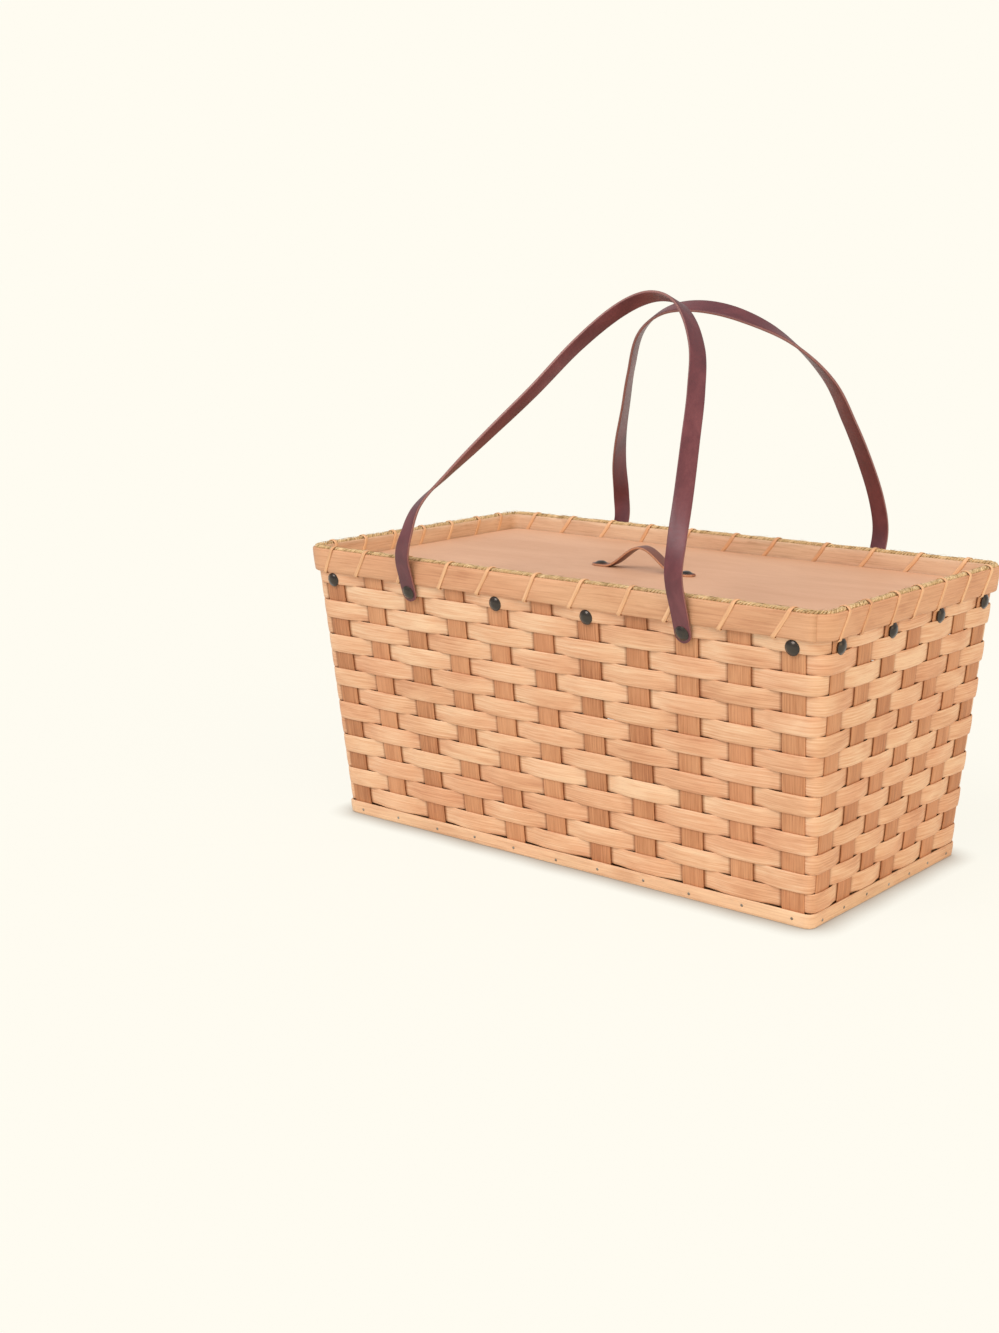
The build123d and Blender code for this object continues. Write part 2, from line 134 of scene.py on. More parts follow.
class NodeSheet:
    """One material and its shader nodes, added and joined by short calls."""

    def __init__(self, name: str) -> None:
        """Starts a material with a Principled shader.

        Args:
            name: The material's name.
        """
        self.material = bpy.data.materials.new(name)
        self.material.use_nodes = True
        self.tree = self.material.node_tree
        self.shader = self.tree.nodes["Principled BSDF"]

    def add(self, kind: str) -> bpy.types.Node:
        """Adds a node of that type."""
        return self.tree.nodes.new(kind)

    def join(self, source: Socket, target: Socket) -> None:
        """Joins an output to an input."""
        self.tree.links.new(source, target)

    def strip_coordinates(self) -> Socket:
        """Metres along and across a strip, from its UV map."""
        return self.add("ShaderNodeUVMap").outputs["UV"]

    def object_coordinates(self) -> Socket:
        """Metres in the frame of the object."""
        return self.add("ShaderNodeTexCoord").outputs["Object"]

    def attribute(self, name: str) -> Socket:
        """A number stored on the mesh's points."""
        node = self.add("ShaderNodeAttribute")
        node.attribute_name = name
        return node.outputs["Fac"]

    def noise(
        self,
        place: Socket,
        stretch: Sequence[float],
        detail: float = 4.0,
        roughness: float = 0.55,
        distortion: float = 0.0,
    ) -> Socket:
        """Adds a noise pattern.

        Args:
            place: The coordinates in metres.
            stretch: How many grains there are in a metre, each way.
            detail: How many finer layers the noise has.
            roughness: How strong the finer layers are.
            distortion: How far the grains are bent.

        Returns:
            The noise, about 0 to 1.
        """
        mapping = self.add("ShaderNodeMapping")
        mapping.inputs["Scale"].default_value = stretch
        self.join(place, mapping.inputs["Vector"])
        texture = self.add("ShaderNodeTexNoise")
        texture.inputs["Scale"].default_value = 1.0
        texture.inputs["Detail"].default_value = detail
        texture.inputs["Roughness"].default_value = roughness
        texture.inputs["Distortion"].default_value = distortion
        self.join(mapping.outputs["Vector"], texture.inputs["Vector"])
        return texture.outputs["Fac"]

    def ramp(
        self, value: Socket, stops: Sequence[tuple[float, Colour]]
    ) -> Socket:
        """Turns a number into a colour.

        Args:
            value: The number.
            stops: Places from 0 to 1, each with its colour.

        Returns:
            The colour.
        """
        node = self.add("ShaderNodeValToRGB")
        elements = node.color_ramp.elements
        while len(elements) < len(stops):
            elements.new(0.5)
        for element, (place, colour) in zip(elements, stops):
            element.position = place
            element.color = (*colour, 1.0)
        self.join(value, node.inputs["Fac"])
        return node.outputs["Color"]

    def sum(
        self, first: Socket, second: Socket | float, operation: str = "ADD"
    ) -> Socket:
        """Adds two numbers, or joins them by another operation of the Math node.

        Args:
            first: A number.
            second: Another number, or a value.
            operation: The Math node's operation.

        Returns:
            The result.
        """
        node = self.add("ShaderNodeMath")
        node.operation = operation
        self.join(first, node.inputs[0])
        if isinstance(second, Socket):
            self.join(second, node.inputs[1])
        else:
            node.inputs[1].default_value = second
        return node.outputs[0]

    def rescale(
        self, value: Socket, source: tuple[float, float], target: tuple[float, float]
    ) -> Socket:
        """Maps a number from one range to another.

        Args:
            value: The number.
            source: The range that it lies in.
            target: The range that it is spread over.

        Returns:
            The number in the new range.
        """
        node = self.add("ShaderNodeMapRange")
        node.inputs["From Min"].default_value, node.inputs["From Max"].default_value = source
        node.inputs["To Min"].default_value, node.inputs["To Max"].default_value = target
        self.join(value, node.inputs["Value"])
        return node.outputs["Result"]

    def blend(
        self,
        first: Socket,
        second: Socket | Colour,
        share: Socket | float,
        mode: str = "MIX",
    ) -> Socket:
        """Mixes two colours.

        Args:
            first: The colour underneath.
            second: The colour on top.
            share: How much of the top colour shows.
            mode: The Mix node's way of mixing.

        Returns:
            The mixed colour.
        """
        node = self.add("ShaderNodeMix")
        node.data_type = "RGBA"
        node.blend_type = mode
        self.join(first, node.inputs["A"])
        for socket, value in ((node.inputs["B"], second), (node.inputs["Factor"], share)):
            if isinstance(value, Socket):
                self.join(value, socket)
            elif isinstance(value, tuple):
                socket.default_value = (*value, 1.0)
            else:
                socket.default_value = value
        return node.outputs["Result"]

    def bump(
        self, height: Socket, depth: float, below: Socket | None = None
    ) -> Socket:
        """Turns a height into a surface normal.

        Args:
            height: The height, 0 to 1.
            depth: How many metres the height 1 stands for.
            below: The normal of a coarser bump underneath.

        Returns:
            The normal.
        """
        node = self.add("ShaderNodeBump")
        node.inputs["Distance"].default_value = depth
        self.join(height, node.inputs["Height"])
        if below is not None:
            self.join(below, node.inputs["Normal"])
        return node.outputs["Normal"]

    def finish(
        self,
        colour: Socket,
        roughness: Socket | float,
        normal: Socket | None = None,
        **settings: float,
    ) -> Material:
        """Joins the shader's main inputs.

        Args:
            colour: The base colour.
            roughness: The roughness, a number or a value.
            normal: The bumped normal.
            **settings: Other inputs of the shader, with _ for a space in their names.

        Returns:
            The material.
        """
        self.join(colour, self.shader.inputs["Base Color"])
        if isinstance(roughness, Socket):
            self.join(roughness, self.shader.inputs["Roughness"])
        else:
            self.shader.inputs["Roughness"].default_value = roughness
        if normal is not None:
            self.join(normal, self.shader.inputs["Normal"])
        for name, value in settings.items():
            self.shader.inputs[name.replace("_", " ")].default_value = value
        return self.material


@dataclass(frozen=True)
class SplintFinish:
    """Flat wooden splint with fibres along it, stained unevenly, and with painted shade where its mesh asks
    for it.
    """

    name: str
    pale: Colour
    mid: Colour
    deep: Colour
    fibre_depth: float = 0.00022
    patch_spread: float = 0.5
    roughness: tuple[float, float] = (0.48, 0.66)
    rosy: Colour = (0.985, 0.925, 0.915)
    # The colour of the painted shade beside the uprights, at a crosswise number of 1
    deep_shade: Colour = (0.42, 0.27, 0.17)

    def material(self) -> Material:
        """Builds the splint's material.

        Returns:
            The material.
        """
        sheet = NodeSheet(self.name)
        place = sheet.strip_coordinates()
        patches = sheet.noise(place, (14, 45, 1), detail=3, distortion=0.6)
        fibres = sheet.noise(place, (20, 760, 1), detail=5, roughness=0.62)
        hairs = sheet.noise(place, (45, 2400, 1), detail=3, roughness=0.7)
        tone = sheet.sum(
            sheet.rescale(patches, (0.25, 0.75), (0.5 - self.patch_spread, 0.5 + self.patch_spread)),
            sheet.attribute("lengthwise"),
        )
        tone = sheet.sum(tone, sheet.rescale(fibres, (0.3, 0.7), (-0.42, 0.42)))
        colour = sheet.ramp(tone, ((0.0, self.deep), (0.45, self.mid), (1.0, self.pale)))
        blush = sheet.rescale(sheet.noise(place, (7, 13, 1), detail=2), (0.42, 0.66), (0.0, 1.0))
        colour = sheet.blend(colour, self.rosy, blush, "MULTIPLY")
        streaks = sheet.ramp(hairs, ((0.28, (0.62, 0.5, 0.4)), (0.46, WHITE)))
        colour = sheet.blend(colour, streaks, 0.55, "MULTIPLY")
        # Painted shade: darkens the splint towards deep_shade where its crosswise number is high, beside the
        # uprights
        shadow = sheet.ramp(sheet.attribute("crosswise"), ((0.0, WHITE), (1.0, self.deep_shade)))
        colour = sheet.blend(colour, shadow, 1.0, "MULTIPLY")
        height = sheet.sum(fibres, sheet.sum(hairs, 0.35, "MULTIPLY"))
        normal = sheet.bump(height, self.fibre_depth)
        rough = sheet.rescale(fibres, (0.3, 0.7), self.roughness)
        return sheet.finish(colour, rough, normal, Specular_IOR_Level=0.35)


@dataclass(frozen=True)
class SeagrassFinish:
    """Twisted grass with green, straw and brown fibres."""

    name: str = "seagrass_twist"
    straw: Colour = srgb(238, 208, 164)
    green: Colour = srgb(198, 170, 122)
    brown: Colour = srgb(130, 98, 62)

    def material(self) -> Material:
        """Builds the filler rope's material.

        Returns:
            The material.
        """
        sheet = NodeSheet(self.name)
        place = sheet.strip_coordinates()
        blades = sheet.noise(place, (160, 900, 1), detail=4, roughness=0.65)
        patches = sheet.noise(place, (40, 60, 1), detail=2)
        tone = sheet.sum(sheet.rescale(blades, (0.3, 0.7), (-0.1, 0.9)), sheet.attribute("lengthwise"))
        colour = sheet.ramp(
            tone, ((0.0, self.brown), (0.25, self.green), (0.55, self.straw), (1.0, srgb(246, 226, 188)))
        )
        greener = sheet.rescale(patches, (0.45, 0.7), (0.0, 0.4))
        colour = sheet.blend(colour, self.green, greener)
        normal = sheet.bump(blades, 0.0005)
        return sheet.finish(colour, 0.8, normal, Specular_IOR_Level=0.25)


@dataclass(frozen=True)
class LeatherFinish:
    """Dyed strap leather with a burnished face and raw, paler edges."""

    name: str
    pale: Colour
    mid: Colour
    deep: Colour
    edge: Colour
    gloss: float = 0.42

    def material(self) -> Material:
        """Builds the leather's material.

        Returns:
            The material.
        """
        sheet = NodeSheet(self.name)
        place = sheet.strip_coordinates()
        cloud = sheet.noise(place, (22, 40, 1), detail=4, distortion=0.8)
        pores = sheet.noise(place, (1700, 1900, 1), detail=3, roughness=0.6)
        wrinkles = sheet.noise(place, (260, 420, 1), detail=4, distortion=0.7)
        tone = sheet.sum(
            sheet.rescale(cloud, (0.3, 0.7), (0.15, 0.85)),
            sheet.rescale(wrinkles, (0.3, 0.7), (-0.1, 0.1)),
        )
        colour = sheet.ramp(tone, ((0.0, self.deep), (0.5, self.mid), (1.0, self.pale)))
        rim = sheet.rescale(sheet.attribute("crosswise"), (0.5, 0.85), (0.0, 1.0))
        fray = sheet.noise(place, (500, 500, 1), detail=3)
        rim = sheet.sum(rim, sheet.rescale(fray, (0.3, 0.7), (0.55, 1.1)), "MULTIPLY")
        colour = sheet.blend(colour, self.edge, rim)
        normal = sheet.bump(wrinkles, 0.00012)
        normal = sheet.bump(pores, 0.00005, normal)
        rough = sheet.rescale(wrinkles, (0.3, 0.7), (self.gloss - 0.07, self.gloss + 0.12))
        return sheet.finish(
            colour, rough, normal, Specular_IOR_Level=0.5, Coat_Weight=0.12, Coat_Roughness=0.3
        )


@dataclass(frozen=True)
class BoardFinish:
    """A flat wooden board with a quiet, cloudy grain along X."""

    name: str
    pale: Colour
    deep: Colour
    roughness: float = 0.55

    def material(self) -> Material:
        """Builds the board's material.

        Returns:
            The material.
        """
        sheet = NodeSheet(self.name)
        place = sheet.object_coordinates()
        cloud = sheet.noise(place, (5, 14, 20), detail=4, distortion=1.2)
        grain = sheet.noise(place, (14, 330, 330), detail=5, roughness=0.6, distortion=0.3)
        pores = sheet.noise(place, (90, 1600, 1600), detail=2)
        tone = sheet.sum(
            sheet.rescale(cloud, (0.3, 0.7), (0.1, 0.9)), sheet.rescale(grain, (0.3, 0.7), (-0.16, 0.16))
        )
        colour = sheet.ramp(tone, ((0.0, self.deep), (1.0, self.pale)))
        flecks = sheet.ramp(pores, ((0.3, (0.84, 0.78, 0.7)), (0.42, WHITE)))
        colour = sheet.blend(colour, flecks, 0.6, "MULTIPLY")
        normal = sheet.bump(sheet.sum(grain, pores), 0.00006)
        return sheet.finish(colour, self.roughness, normal, Specular_IOR_Level=0.35)


@dataclass(frozen=True)
class CapFinish:
    """Metal with an uneven patina."""

    name: str
    metal: Colour
    patina: Colour
    metallic: float
    roughness: tuple[float, float]
    lacquer: float = 0.0

    def material(self) -> Material:
        """Builds the metal's material.

        Returns:
            The material.
        """
        sheet = NodeSheet(self.name)
        place = sheet.object_coordinates()
        spots = sheet.noise(place, (160, 160, 160), detail=3, roughness=0.5)
        brush = sheet.noise(place, (1500, 1500, 1500), detail=2)
        colour = sheet.ramp(spots, ((0.35, self.metal), (0.68, self.patina)))
        rough = sheet.rescale(spots, (0.3, 0.7), self.roughness)
        normal = sheet.bump(brush, 0.00003)
        return sheet.finish(
            colour, rough, normal, Metallic=self.metallic, Coat_Weight=self.lacquer, Coat_Roughness=0.12
        )


def heading(points: Sequence[Vector], i: int) -> Vector:
    """The way from the point before to the point after."""
    return points[min(i + 1, len(points) - 1)] - points[max(i - 1, 0)]


def travel_along(points: Sequence[Vector]) -> list[float]:
    """How far along a line each of its points lies."""
    travel = [0.0]
    for before, after in zip(points, points[1:]):
        travel.append(travel[-1] + (after - before).length)
    return travel


def rounded_share(from_end: float, half_width: float, least: float) -> float:
    """How much of a strap's width is left that close to its rounded end.

    Args:
        from_end: The distance from the end.
        half_width: Half the strap's width.
        least: The share that is left at the very end.

    Returns:
        The share.
    """
    if from_end >= half_width:
        return 1.0
    return max(least, sqrt(max(0.0, 1 - (1 - from_end / half_width) ** 2)))


@dataclass
class StripMesh:
    """Gathers closed strips and turned forms, section by section, into one mesh."""

    points: list[Vector] = field(default_factory=list)
    faces: list[tuple[int, ...]] = field(default_factory=list)
    corners: list[tuple[float, float]] = field(default_factory=list)
    lengthwise: list[float] = field(default_factory=list)
    crosswise: list[float] = field(default_factory=list)

    def sweep(
        self,
        sections: Sequence[Sequence[Vector]],
        travel: Sequence[float],
        across: Sequence[float],
        lengthwise: Sequence[float] | None = None,
        crosswise: Sequence[float] | None = None,
        closed: bool = False,
    ) -> None:
        """Adds one strip, skinned over its sections.

        Args:
            sections: The outline of each section, all with the same number of points.
            travel: Metres along the strip at each section, with one more at the end if closed.
            across: Metres round the outline at each point, with one more for the way back.
            lengthwise: A number kept on each section's points.
            crosswise: A number kept on each outline point.
            closed: Whether the last section joins the first.
        """
        first = len(self.points)
        count = len(sections[0])
        for i, section in enumerate(sections):
            self.points += section
            self.lengthwise += [lengthwise[i] if lengthwise else 0.0] * count
            self.crosswise += list(crosswise) if crosswise else [0.0] * count
        spans = len(sections) if closed else len(sections) - 1
        for i in range(spans):
            here = first + i * count
            ahead = first + ((i + 1) % len(sections)) * count
            for j in range(count):
                k = (j + 1) % count
                self.faces.append((here + j, ahead + j, ahead + k, here + k))
                self.corners += [
                    (travel[i], across[j]),
                    (travel[i + 1], across[j]),
                    (travel[i + 1], across[j + 1]),
                    (travel[i], across[j + 1]),
                ]
        if not closed:
            last = first + (len(sections) - 1) * count
            self.faces.append(tuple(range(first, first + count)))
            self.corners += [(travel[0], across[j]) for j in range(count)]
            self.faces.append(tuple(range(last + count - 1, last - 1, -1)))
            self.corners += [(travel[-1], across[j]) for j in range(count - 1, -1, -1)]

    def turned(self, profile: Sequence[tuple[float, float]], place: Matrix, steps: int = 32) -> None:
        """Adds a form turned about the local Z axis of a place.

        Args:
            profile: Radius and height pairs from the bottom to the top, none at radius 0.
            place: Where the form stands.
            steps: How many sides it has.
        """
        sections = []
        for radius, height in profile:
            ring = []
            for i in range(steps):
                angle = 2 * pi * i / steps
                ring.append(place @ Vector((radius * cos(angle), radius * sin(angle), height)))
            sections.append(ring)
        across = [2 * pi * profile[0][0] * i / steps for i in range(steps + 1)]
        self.sweep(sections, [height for _, height in profile], across)

    def build(self, name: str, material: Material) -> Piece:
        """Makes the piece.

        Args:
            name: The piece's name.
            material: Its material.

        Returns:
            The new piece, in the scene.
        """
        mesh = bpy.data.meshes.new(name)
        mesh.from_pydata(self.points, [], self.faces)
        layer = mesh.uv_layers.new(name="strip")
        layer.data.foreach_set("uv", [value for corner in self.corners for value in corner])
        for label, values in (("lengthwise", self.lengthwise), ("crosswise", self.crosswise)):
            mesh.attributes.new(label, "FLOAT", "POINT").data.foreach_set("value", values)
        mesh.shade_smooth()
        mesh.materials.append(material)
        piece = bpy.data.objects.new(name, mesh)
        bpy.context.scene.collection.objects.link(piece)
        return piece


def seat(piece: Piece, body: str, slot: str, *nodes: str) -> Piece:
    """Ties a piece to its body, and hides the CAD nodes that it stands for.

    Args:
        piece: The piece.
        body: The body that it moves with.
        slot: The record's material slot; not used.
        *nodes: The CAD nodes that it replaces.

    Returns:
        The same piece.
    """
    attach(piece, body)
    if nodes:
        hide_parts(*nodes)
    LOG.info("%s rides on %s", piece.name, body)
    return piece


def dress(node: str, material: Material) -> None:
    """Gives a CAD node that stays visible its material.

    Args:
        node: The node's name.
        material: The material for all its slots.
    """
    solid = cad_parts[node]
    if not solid.material_slots:
        solid.data.materials.append(material)
    for slot in solid.material_slots:
        slot.material = material
    LOG.info("%s keeps its solid", node)


@dataclass(frozen=True)
class WallShape:
    """The tapered wall, measured to the middle of its uprights.

    Places round it are counted in beats: one beat from each upright to the next, so the corners lie
    between two whole beats. Beat 0 is the left upright of the front wall.
    """

    rim_top: float
    half_length: float
    half_width: float
    end_inset: float = 0.020
    side_inset: float = 0.028
    corner_top: float = 0.014
    corner_base: float = 0.004
    long_count: int = 11
    end_count: int = 7
    long_pitch: tuple[float, float] = (0.0479, 0.0497)
    end_pitch: tuple[float, float] = (0.0356, 0.0415)

    @classmethod
    def from_frame(cls) -> "WallShape":
        """Reads the rim's size from the CAD hoop."""
        _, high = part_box("outer_rim_hoop")
        sizes = RimSizes()
        wall_to_rim = sizes.hoop_offset + sizes.hoop_thick
        return cls(high.z, high.x - wall_to_rim, high.y - wall_to_rim)

    @property
    def beats(self) -> int:
        """How many uprights stand round the basket."""
        return 2 * (self.long_count + self.end_count)

    def count(self, wall: Wall) -> int:
        """How many uprights a wall has."""
        return self.long_count if wall.is_long else self.end_count

    def wall_at(self, beat: int) -> Wall:
        """The wall that carries the upright at a whole beat."""
        beat %= self.beats
        return next(wall for wall in reversed(Wall) if beat >= self.first_beat(wall))

    def first_beat(self, wall: Wall) -> int:
        """The beat of a wall's first upright."""
        return sum(self.count(Wall(i)) for i in range(wall.value))

    def pitch(self, wall: Wall, z: float) -> float:
        """The distance between a wall's uprights at a height."""
        low, high = self.long_pitch if wall.is_long else self.end_pitch
        return lerp(low, high, z / self.rim_top)

    def spans(self, wall: Wall, z: float) -> tuple[float, float]:
        """Half the wall's own length at a height, and its distance from the middle."""
        rise = 1 - z / self.rim_top
        length = self.half_length - self.end_inset * rise
        width = self.half_width - self.side_inset * rise
        return (length, width) if wall.is_long else (width, length)

    def corner(self, z: float) -> float:
        """The corner radius at a height."""
        return lerp(self.corner_base, self.corner_top, z / self.rim_top)

    def lean(self, wall: Wall) -> float:
        """How far a wall leans out from upright, in radians."""
        return atan2(self.side_inset if wall.is_long else self.end_inset, self.rim_top)

    @staticmethod
    def on_wall(wall: Wall, along: float, out: float, z: float) -> Vector:
        """The point that far along a wall, out from the middle and up."""
        turn_cos, turn_sin = cos(wall.turn), sin(wall.turn)
        return Vector((along * turn_cos + out * turn_sin, along * turn_sin - out * turn_cos, z))

    def upright(self, wall: Wall, index: int, z: float) -> float:
        """How far along its wall an upright stands at a height."""
        return (index - (self.count(wall) - 1) / 2) * self.pitch(wall, z)

    def place(self, beat: float, z: float, offset: float) -> tuple[Vector, Vector]:
        """Finds a point round the wall.

        Args:
            beat: The place round the basket.
            z: The height.
            offset: Metres out from the middle of the uprights.

        Returns:
            The point and the level direction that faces out there.
        """
        beat %= self.beats
        wall = Wall.FRONT
        while beat >= self.count(wall):
            beat -= self.count(wall)
            wall = wall.following()
        span, out = self.spans(wall, z)
        last = self.count(wall) - 1
        if beat <= last:
            along = (beat - last / 2) * self.pitch(wall, z)
            return self.on_wall(wall, along, out + offset, z), self.on_wall(wall, 0, 1, 0)
        turned = wall.following()
        radius = self.corner(z)
        run_in = span - radius - self.upright(wall, last, z)
        arc = radius * pi / 2
        next_span, next_out = self.spans(turned, z)
        run_out = next_span - radius + self.upright(turned, 0, z)
        travel = (beat - last) * (run_in + arc + run_out)
        if travel < run_in:
            along = self.upright(wall, last, z) + travel
            return self.on_wall(wall, along, out + offset, z), self.on_wall(wall, 0, 1, 0)
        if travel < run_in + arc:
            swing = (travel - run_in) / radius
            reach = radius + offset
            point = self.on_wall(
                wall, span - radius + reach * sin(swing), out - radius + reach * cos(swing), z
            )
            return point, self.on_wall(wall, sin(swing), cos(swing), 0)
        along = radius - next_span + travel - run_in - arc
        return self.on_wall(turned, along, next_out + offset, z), self.on_wall(turned, 0, 1, 0)

    def seat_plane(self, wall: Wall, index: int, offset: float, z: float, lean: float) -> Matrix:
        """A place on a rivet's axis: local Z faces out from the wall, and local Y runs up it.

        Args:
            wall: The wall.
            index: The upright, counted along the wall.
            offset: Metres out from the middle of the uprights.
            z: The height of the axis there.
            lean: How far the place leans out from upright, in radians.

        Returns:
            The place.
        """
        _, out = self.spans(wall, z)
        square = self.lean(wall)
        axis = self.on_wall(wall, 0, cos(square), 0) - Vector((0, 0, sin(square)))
        middle = self.on_wall(wall, self.upright(wall, index, z), out, z)
        origin = middle + axis * (offset * cos(square))
        sideways = self.on_wall(wall, 1, 0, 0)
        outward = self.on_wall(wall, 0, cos(lean), 0) - Vector((0, 0, sin(lean)))
        upward = outward.cross(sideways)
        turn = Matrix((sideways, upward, outward)).transposed().to_4x4()
        return Matrix.Translation(origin) @ turn


@dataclass(frozen=True)
class RimSizes:
    """The rim hoops, where other pieces need them."""

    hoop_offset: float = 0.0021
    hoop_thick: float = 0.003
    hoop_height: float = 0.022
    inner_bottom: float = 0.242


def strip_outline(half_height: float, half_thick: float, crown: float) -> list[tuple[float, float]]:
    """The outline of a flat splint: level across its faces, rounded at its edges.

    Args:
        half_height: Half the splint's width.
        half_thick: Half its thickness at the edges.
        crown: How much thicker its outer face is in the middle.

    Returns:
        Points as height and thickness pairs, once round.
    """
    outer = []
    for share in (-0.985, -0.9, -0.6, -0.2, 0.2, 0.6, 0.9, 0.985):
        fall = 0.45 if abs(share) > 0.95 else 1.0
        outer.append((share * half_height, half_thick * fall + crown * (1 - share * share)))
    inner = []
    for share in (1.0, 0.93, 0.35, -0.35, -0.93, -1.0):
        fall = 0.0 if abs(share) > 0.99 else 1.0
        inner.append((share * half_height, -half_thick * fall))
    return outer + inner


def outline_travel(outline: Sequence[tuple[float, float]]) -> list[float]:
    """How far round an outline each point lies, with the way back to the first at the end."""
    travel = [0.0]
    for i in range(len(outline)):
        (a, b), (c, d) = outline[i], outline[(i + 1) % len(outline)]
        travel.append(travel[-1] + sqrt((c - a) ** 2 + (d - b) ** 2))
    return travel


@dataclass
class Weave:
    """The uprights and the weavers that pass in front of them and behind them."""

    shape: WallShape
    rows: int = 14
    row_pitch: float = 0.0166
    row_height: float = 0.0170
    first_row: float = 0.013
    hidden_row_top: float = 0.2555
    weaver_thick: float = 0.0012
    stake_thick: float = 0.0014
    stake_width: float = 0.0212
    stake_top: float = 0.256
    stake_foot: float = 0.0003
    outward_swing: float = 0.00175
    inward_swing: float = 0.0013
    first_beat: int = 22
    stake_steps: int = 84
    stake_wander: float = 0.0003
    weaver_rise: float = 0.00035
    ragged_edge: float = 0.00018
    shade_reach: float = 0.0035
    seed: int = 11

    @property
    def row_names(self) -> list[str]:
        """The CAD nodes of the visible rows, from the foot up."""
        return [f"weaver_row_{row + 1:02d}" for row in range(self.rows)]

    def passes_outside(self, beat: int, row: int) -> bool:
        """Whether a row passes in front of an upright."""
        return (beat + row + 1) % 2 == 0

    def swing(self, beat: float, row: int) -> float:
        """How far out of line a weaver is at a place, from -1 behind an upright to 1 in front."""
        start = int(beat)
        share = beat - start
        share -= 0.62 * sin(2 * pi * share) / (2 * pi)
        sign = 1 if self.passes_outside(start, row) else -1
        return sign * cos(pi * share)

    def weaver(
        self, row: int, low: float, high: float, finish: Material, name: str
    ) -> Piece:
        """Builds one weaver, all the way round.

        Args:
            row: Which row it is, from the foot up.
            low: The height of its lower edge.
            high: The height of its upper edge.
            finish: Its material.
            name: The piece's name.

        Returns:
            The piece.
        """
        rng = random.Random(self.seed + row)
        outline = strip_outline((high - low) / 2, self.weaver_thick / 2, 0.0)
        across = [value + row * 0.061 for value in outline_travel(outline)]
        row_tone = rng.uniform(-0.09, 0.09)
        tones = [rng.uniform(-0.16, 0.18) for _ in range(self.shape.beats)]
        strip = StripMesh()
        sections, travel, lengthwise, shade = [], [], [], []
        stations = self.stations(row)
        join = self.first_beat + (1 if self.passes_outside(self.first_beat, row) else 0)
        after_join = [beat for beat in stations if beat >= join]
        before_join = [beat + self.shape.beats for beat in stations if beat < join]
        for distance in after_join + before_join:
            beat = distance % self.shape.beats
            swing = self.swing(beat, row)
            middle = swing * (self.outward_swing if swing > 0 else self.inward_swing)
            crown = lerp(0.0001, 0.0005, (1 + swing) / 2)
            wander = noise.noise(Vector((distance * 0.9, row * 7.3, 1.0)))
            rise = noise.noise(Vector((distance * 0.35, row * 5.1, 4.0)))
            middle_z = (low + high) / 2 + self.weaver_rise * rise
            squeeze = 1 - 0.012 * (1 - swing) + 0.012 * wander
            ring = []
            for height, thick in outline:
                z = middle_z + height * squeeze
                frayed = noise.noise(Vector((distance * 5.0, row * 3.7, height * 90)))
                edge = self.ragged_edge * frayed
                share = 2 * height / (high - low)
                bow = crown * (1 - share * share) if thick > 0 else 0.0
                point, _ = self.shape.place(beat, z + edge, middle + thick + bow)
                ring.append(point)
            sections.append(ring)
            start = int(beat)
            mixed = lerp(tones[start], tones[(start + 1) % self.shape.beats], ease(beat - start))
            travel.append(distance * BEAT_LENGTH)
            lengthwise.append(row_tone + mixed)
            shade.append(self.shade_beside_upright(beat, row))
        travel.append((join + self.shape.beats) * BEAT_LENGTH)
        strip.sweep(sections, travel, across, lengthwise, None, closed=True)
        # The crosswise numbers carry painted shade: each section's darkening beside the uprights, on all its
        # points
        strip.crosswise = [value for value in shade for _ in outline]
        return strip.build(name, finish)

    def stations(self, row: int) -> list[float]:
        """The places at which a weaver has a section, close together at each upright's edges.

        Args:
            row: Which row it is, from the foot up.

        Returns:
            The places, in beats.
        """
        z = self.first_row + row * self.row_pitch
        beats = []
        for beat in range(self.shape.beats):
            edge = self.stake_width / 2 / self.shape.pitch(self.shape.wall_at(beat), z)
            shares = [0.0, edge * 0.6, edge * 0.93, edge + 0.012, edge + 0.035, edge + 0.07]
            shares += [lerp(edge + 0.07, 0.5, 0.4), lerp(edge + 0.07, 0.5, 0.75)]
            beats += [beat + share for share in shares]
            beats += [beat + 0.5]
            beats += [beat + 1 - share for share in reversed(shares[1:])]
        return beats

    def shade_beside_upright(self, beat: float, row: int) -> float:
        """How much painted shade a weaver gets where it comes out from behind an upright, 0 to 1."""
        nearest = round(beat)
        if self.passes_outside(nearest, row):
            return 0.0
        z = self.first_row + row * self.row_pitch
        pitch = self.shape.pitch(self.shape.wall_at(int(beat)), z)
        beyond = abs(beat - nearest) * pitch - self.stake_width / 2
        return 1 - ease(beyond / self.shade_reach)

    def uprights(self, wall: Wall, finish: Material) -> Piece:
        """Builds the uprights of one wall.

        Args:
            wall: The wall.
            finish: Their material.

        Returns:
            The piece.
        """
        rng = random.Random(self.seed * 5 + wall.value)
        outline = strip_outline(self.stake_width / 2, self.stake_thick / 2, 0.0002)
        strip = StripMesh()
        for index in range(self.shape.count(wall)):
            beat = self.shape.first_beat(wall) + index
            across = [value + beat * 0.047 for value in outline_travel(outline)]
            tone = rng.uniform(-0.24, 0.24)
            sections, travel, lengthwise = [], [], []
            for i in range(self.stake_steps + 1):
                z = lerp(self.stake_foot, self.stake_top, i / self.stake_steps)
                phase = (z - self.first_row - self.row_height / 2) / self.row_pitch
                outside = 1 if self.passes_outside(beat, 0) else -1
                push = -self.stake_wander * outside * cos(pi * phase)
                _, out = self.shape.spans(wall, z)
                middle = self.shape.upright(wall, index, z)
                middle += self.stake_wander * noise.noise(Vector((beat * 2.3, z * 18, 0)))
                ring = []
                for width, thick in outline:
                    ring.append(self.shape.on_wall(wall, middle - width, out + push + thick, z))
                sections.append(ring)
                travel.append(z)
                lengthwise.append(tone + 0.12 * noise.noise(Vector((beat * 4.1, z * 9, 2))))
            strip.sweep(sections, travel, across, lengthwise)
        return strip.build(f"{wall.name.lower()}_uprights", finish)

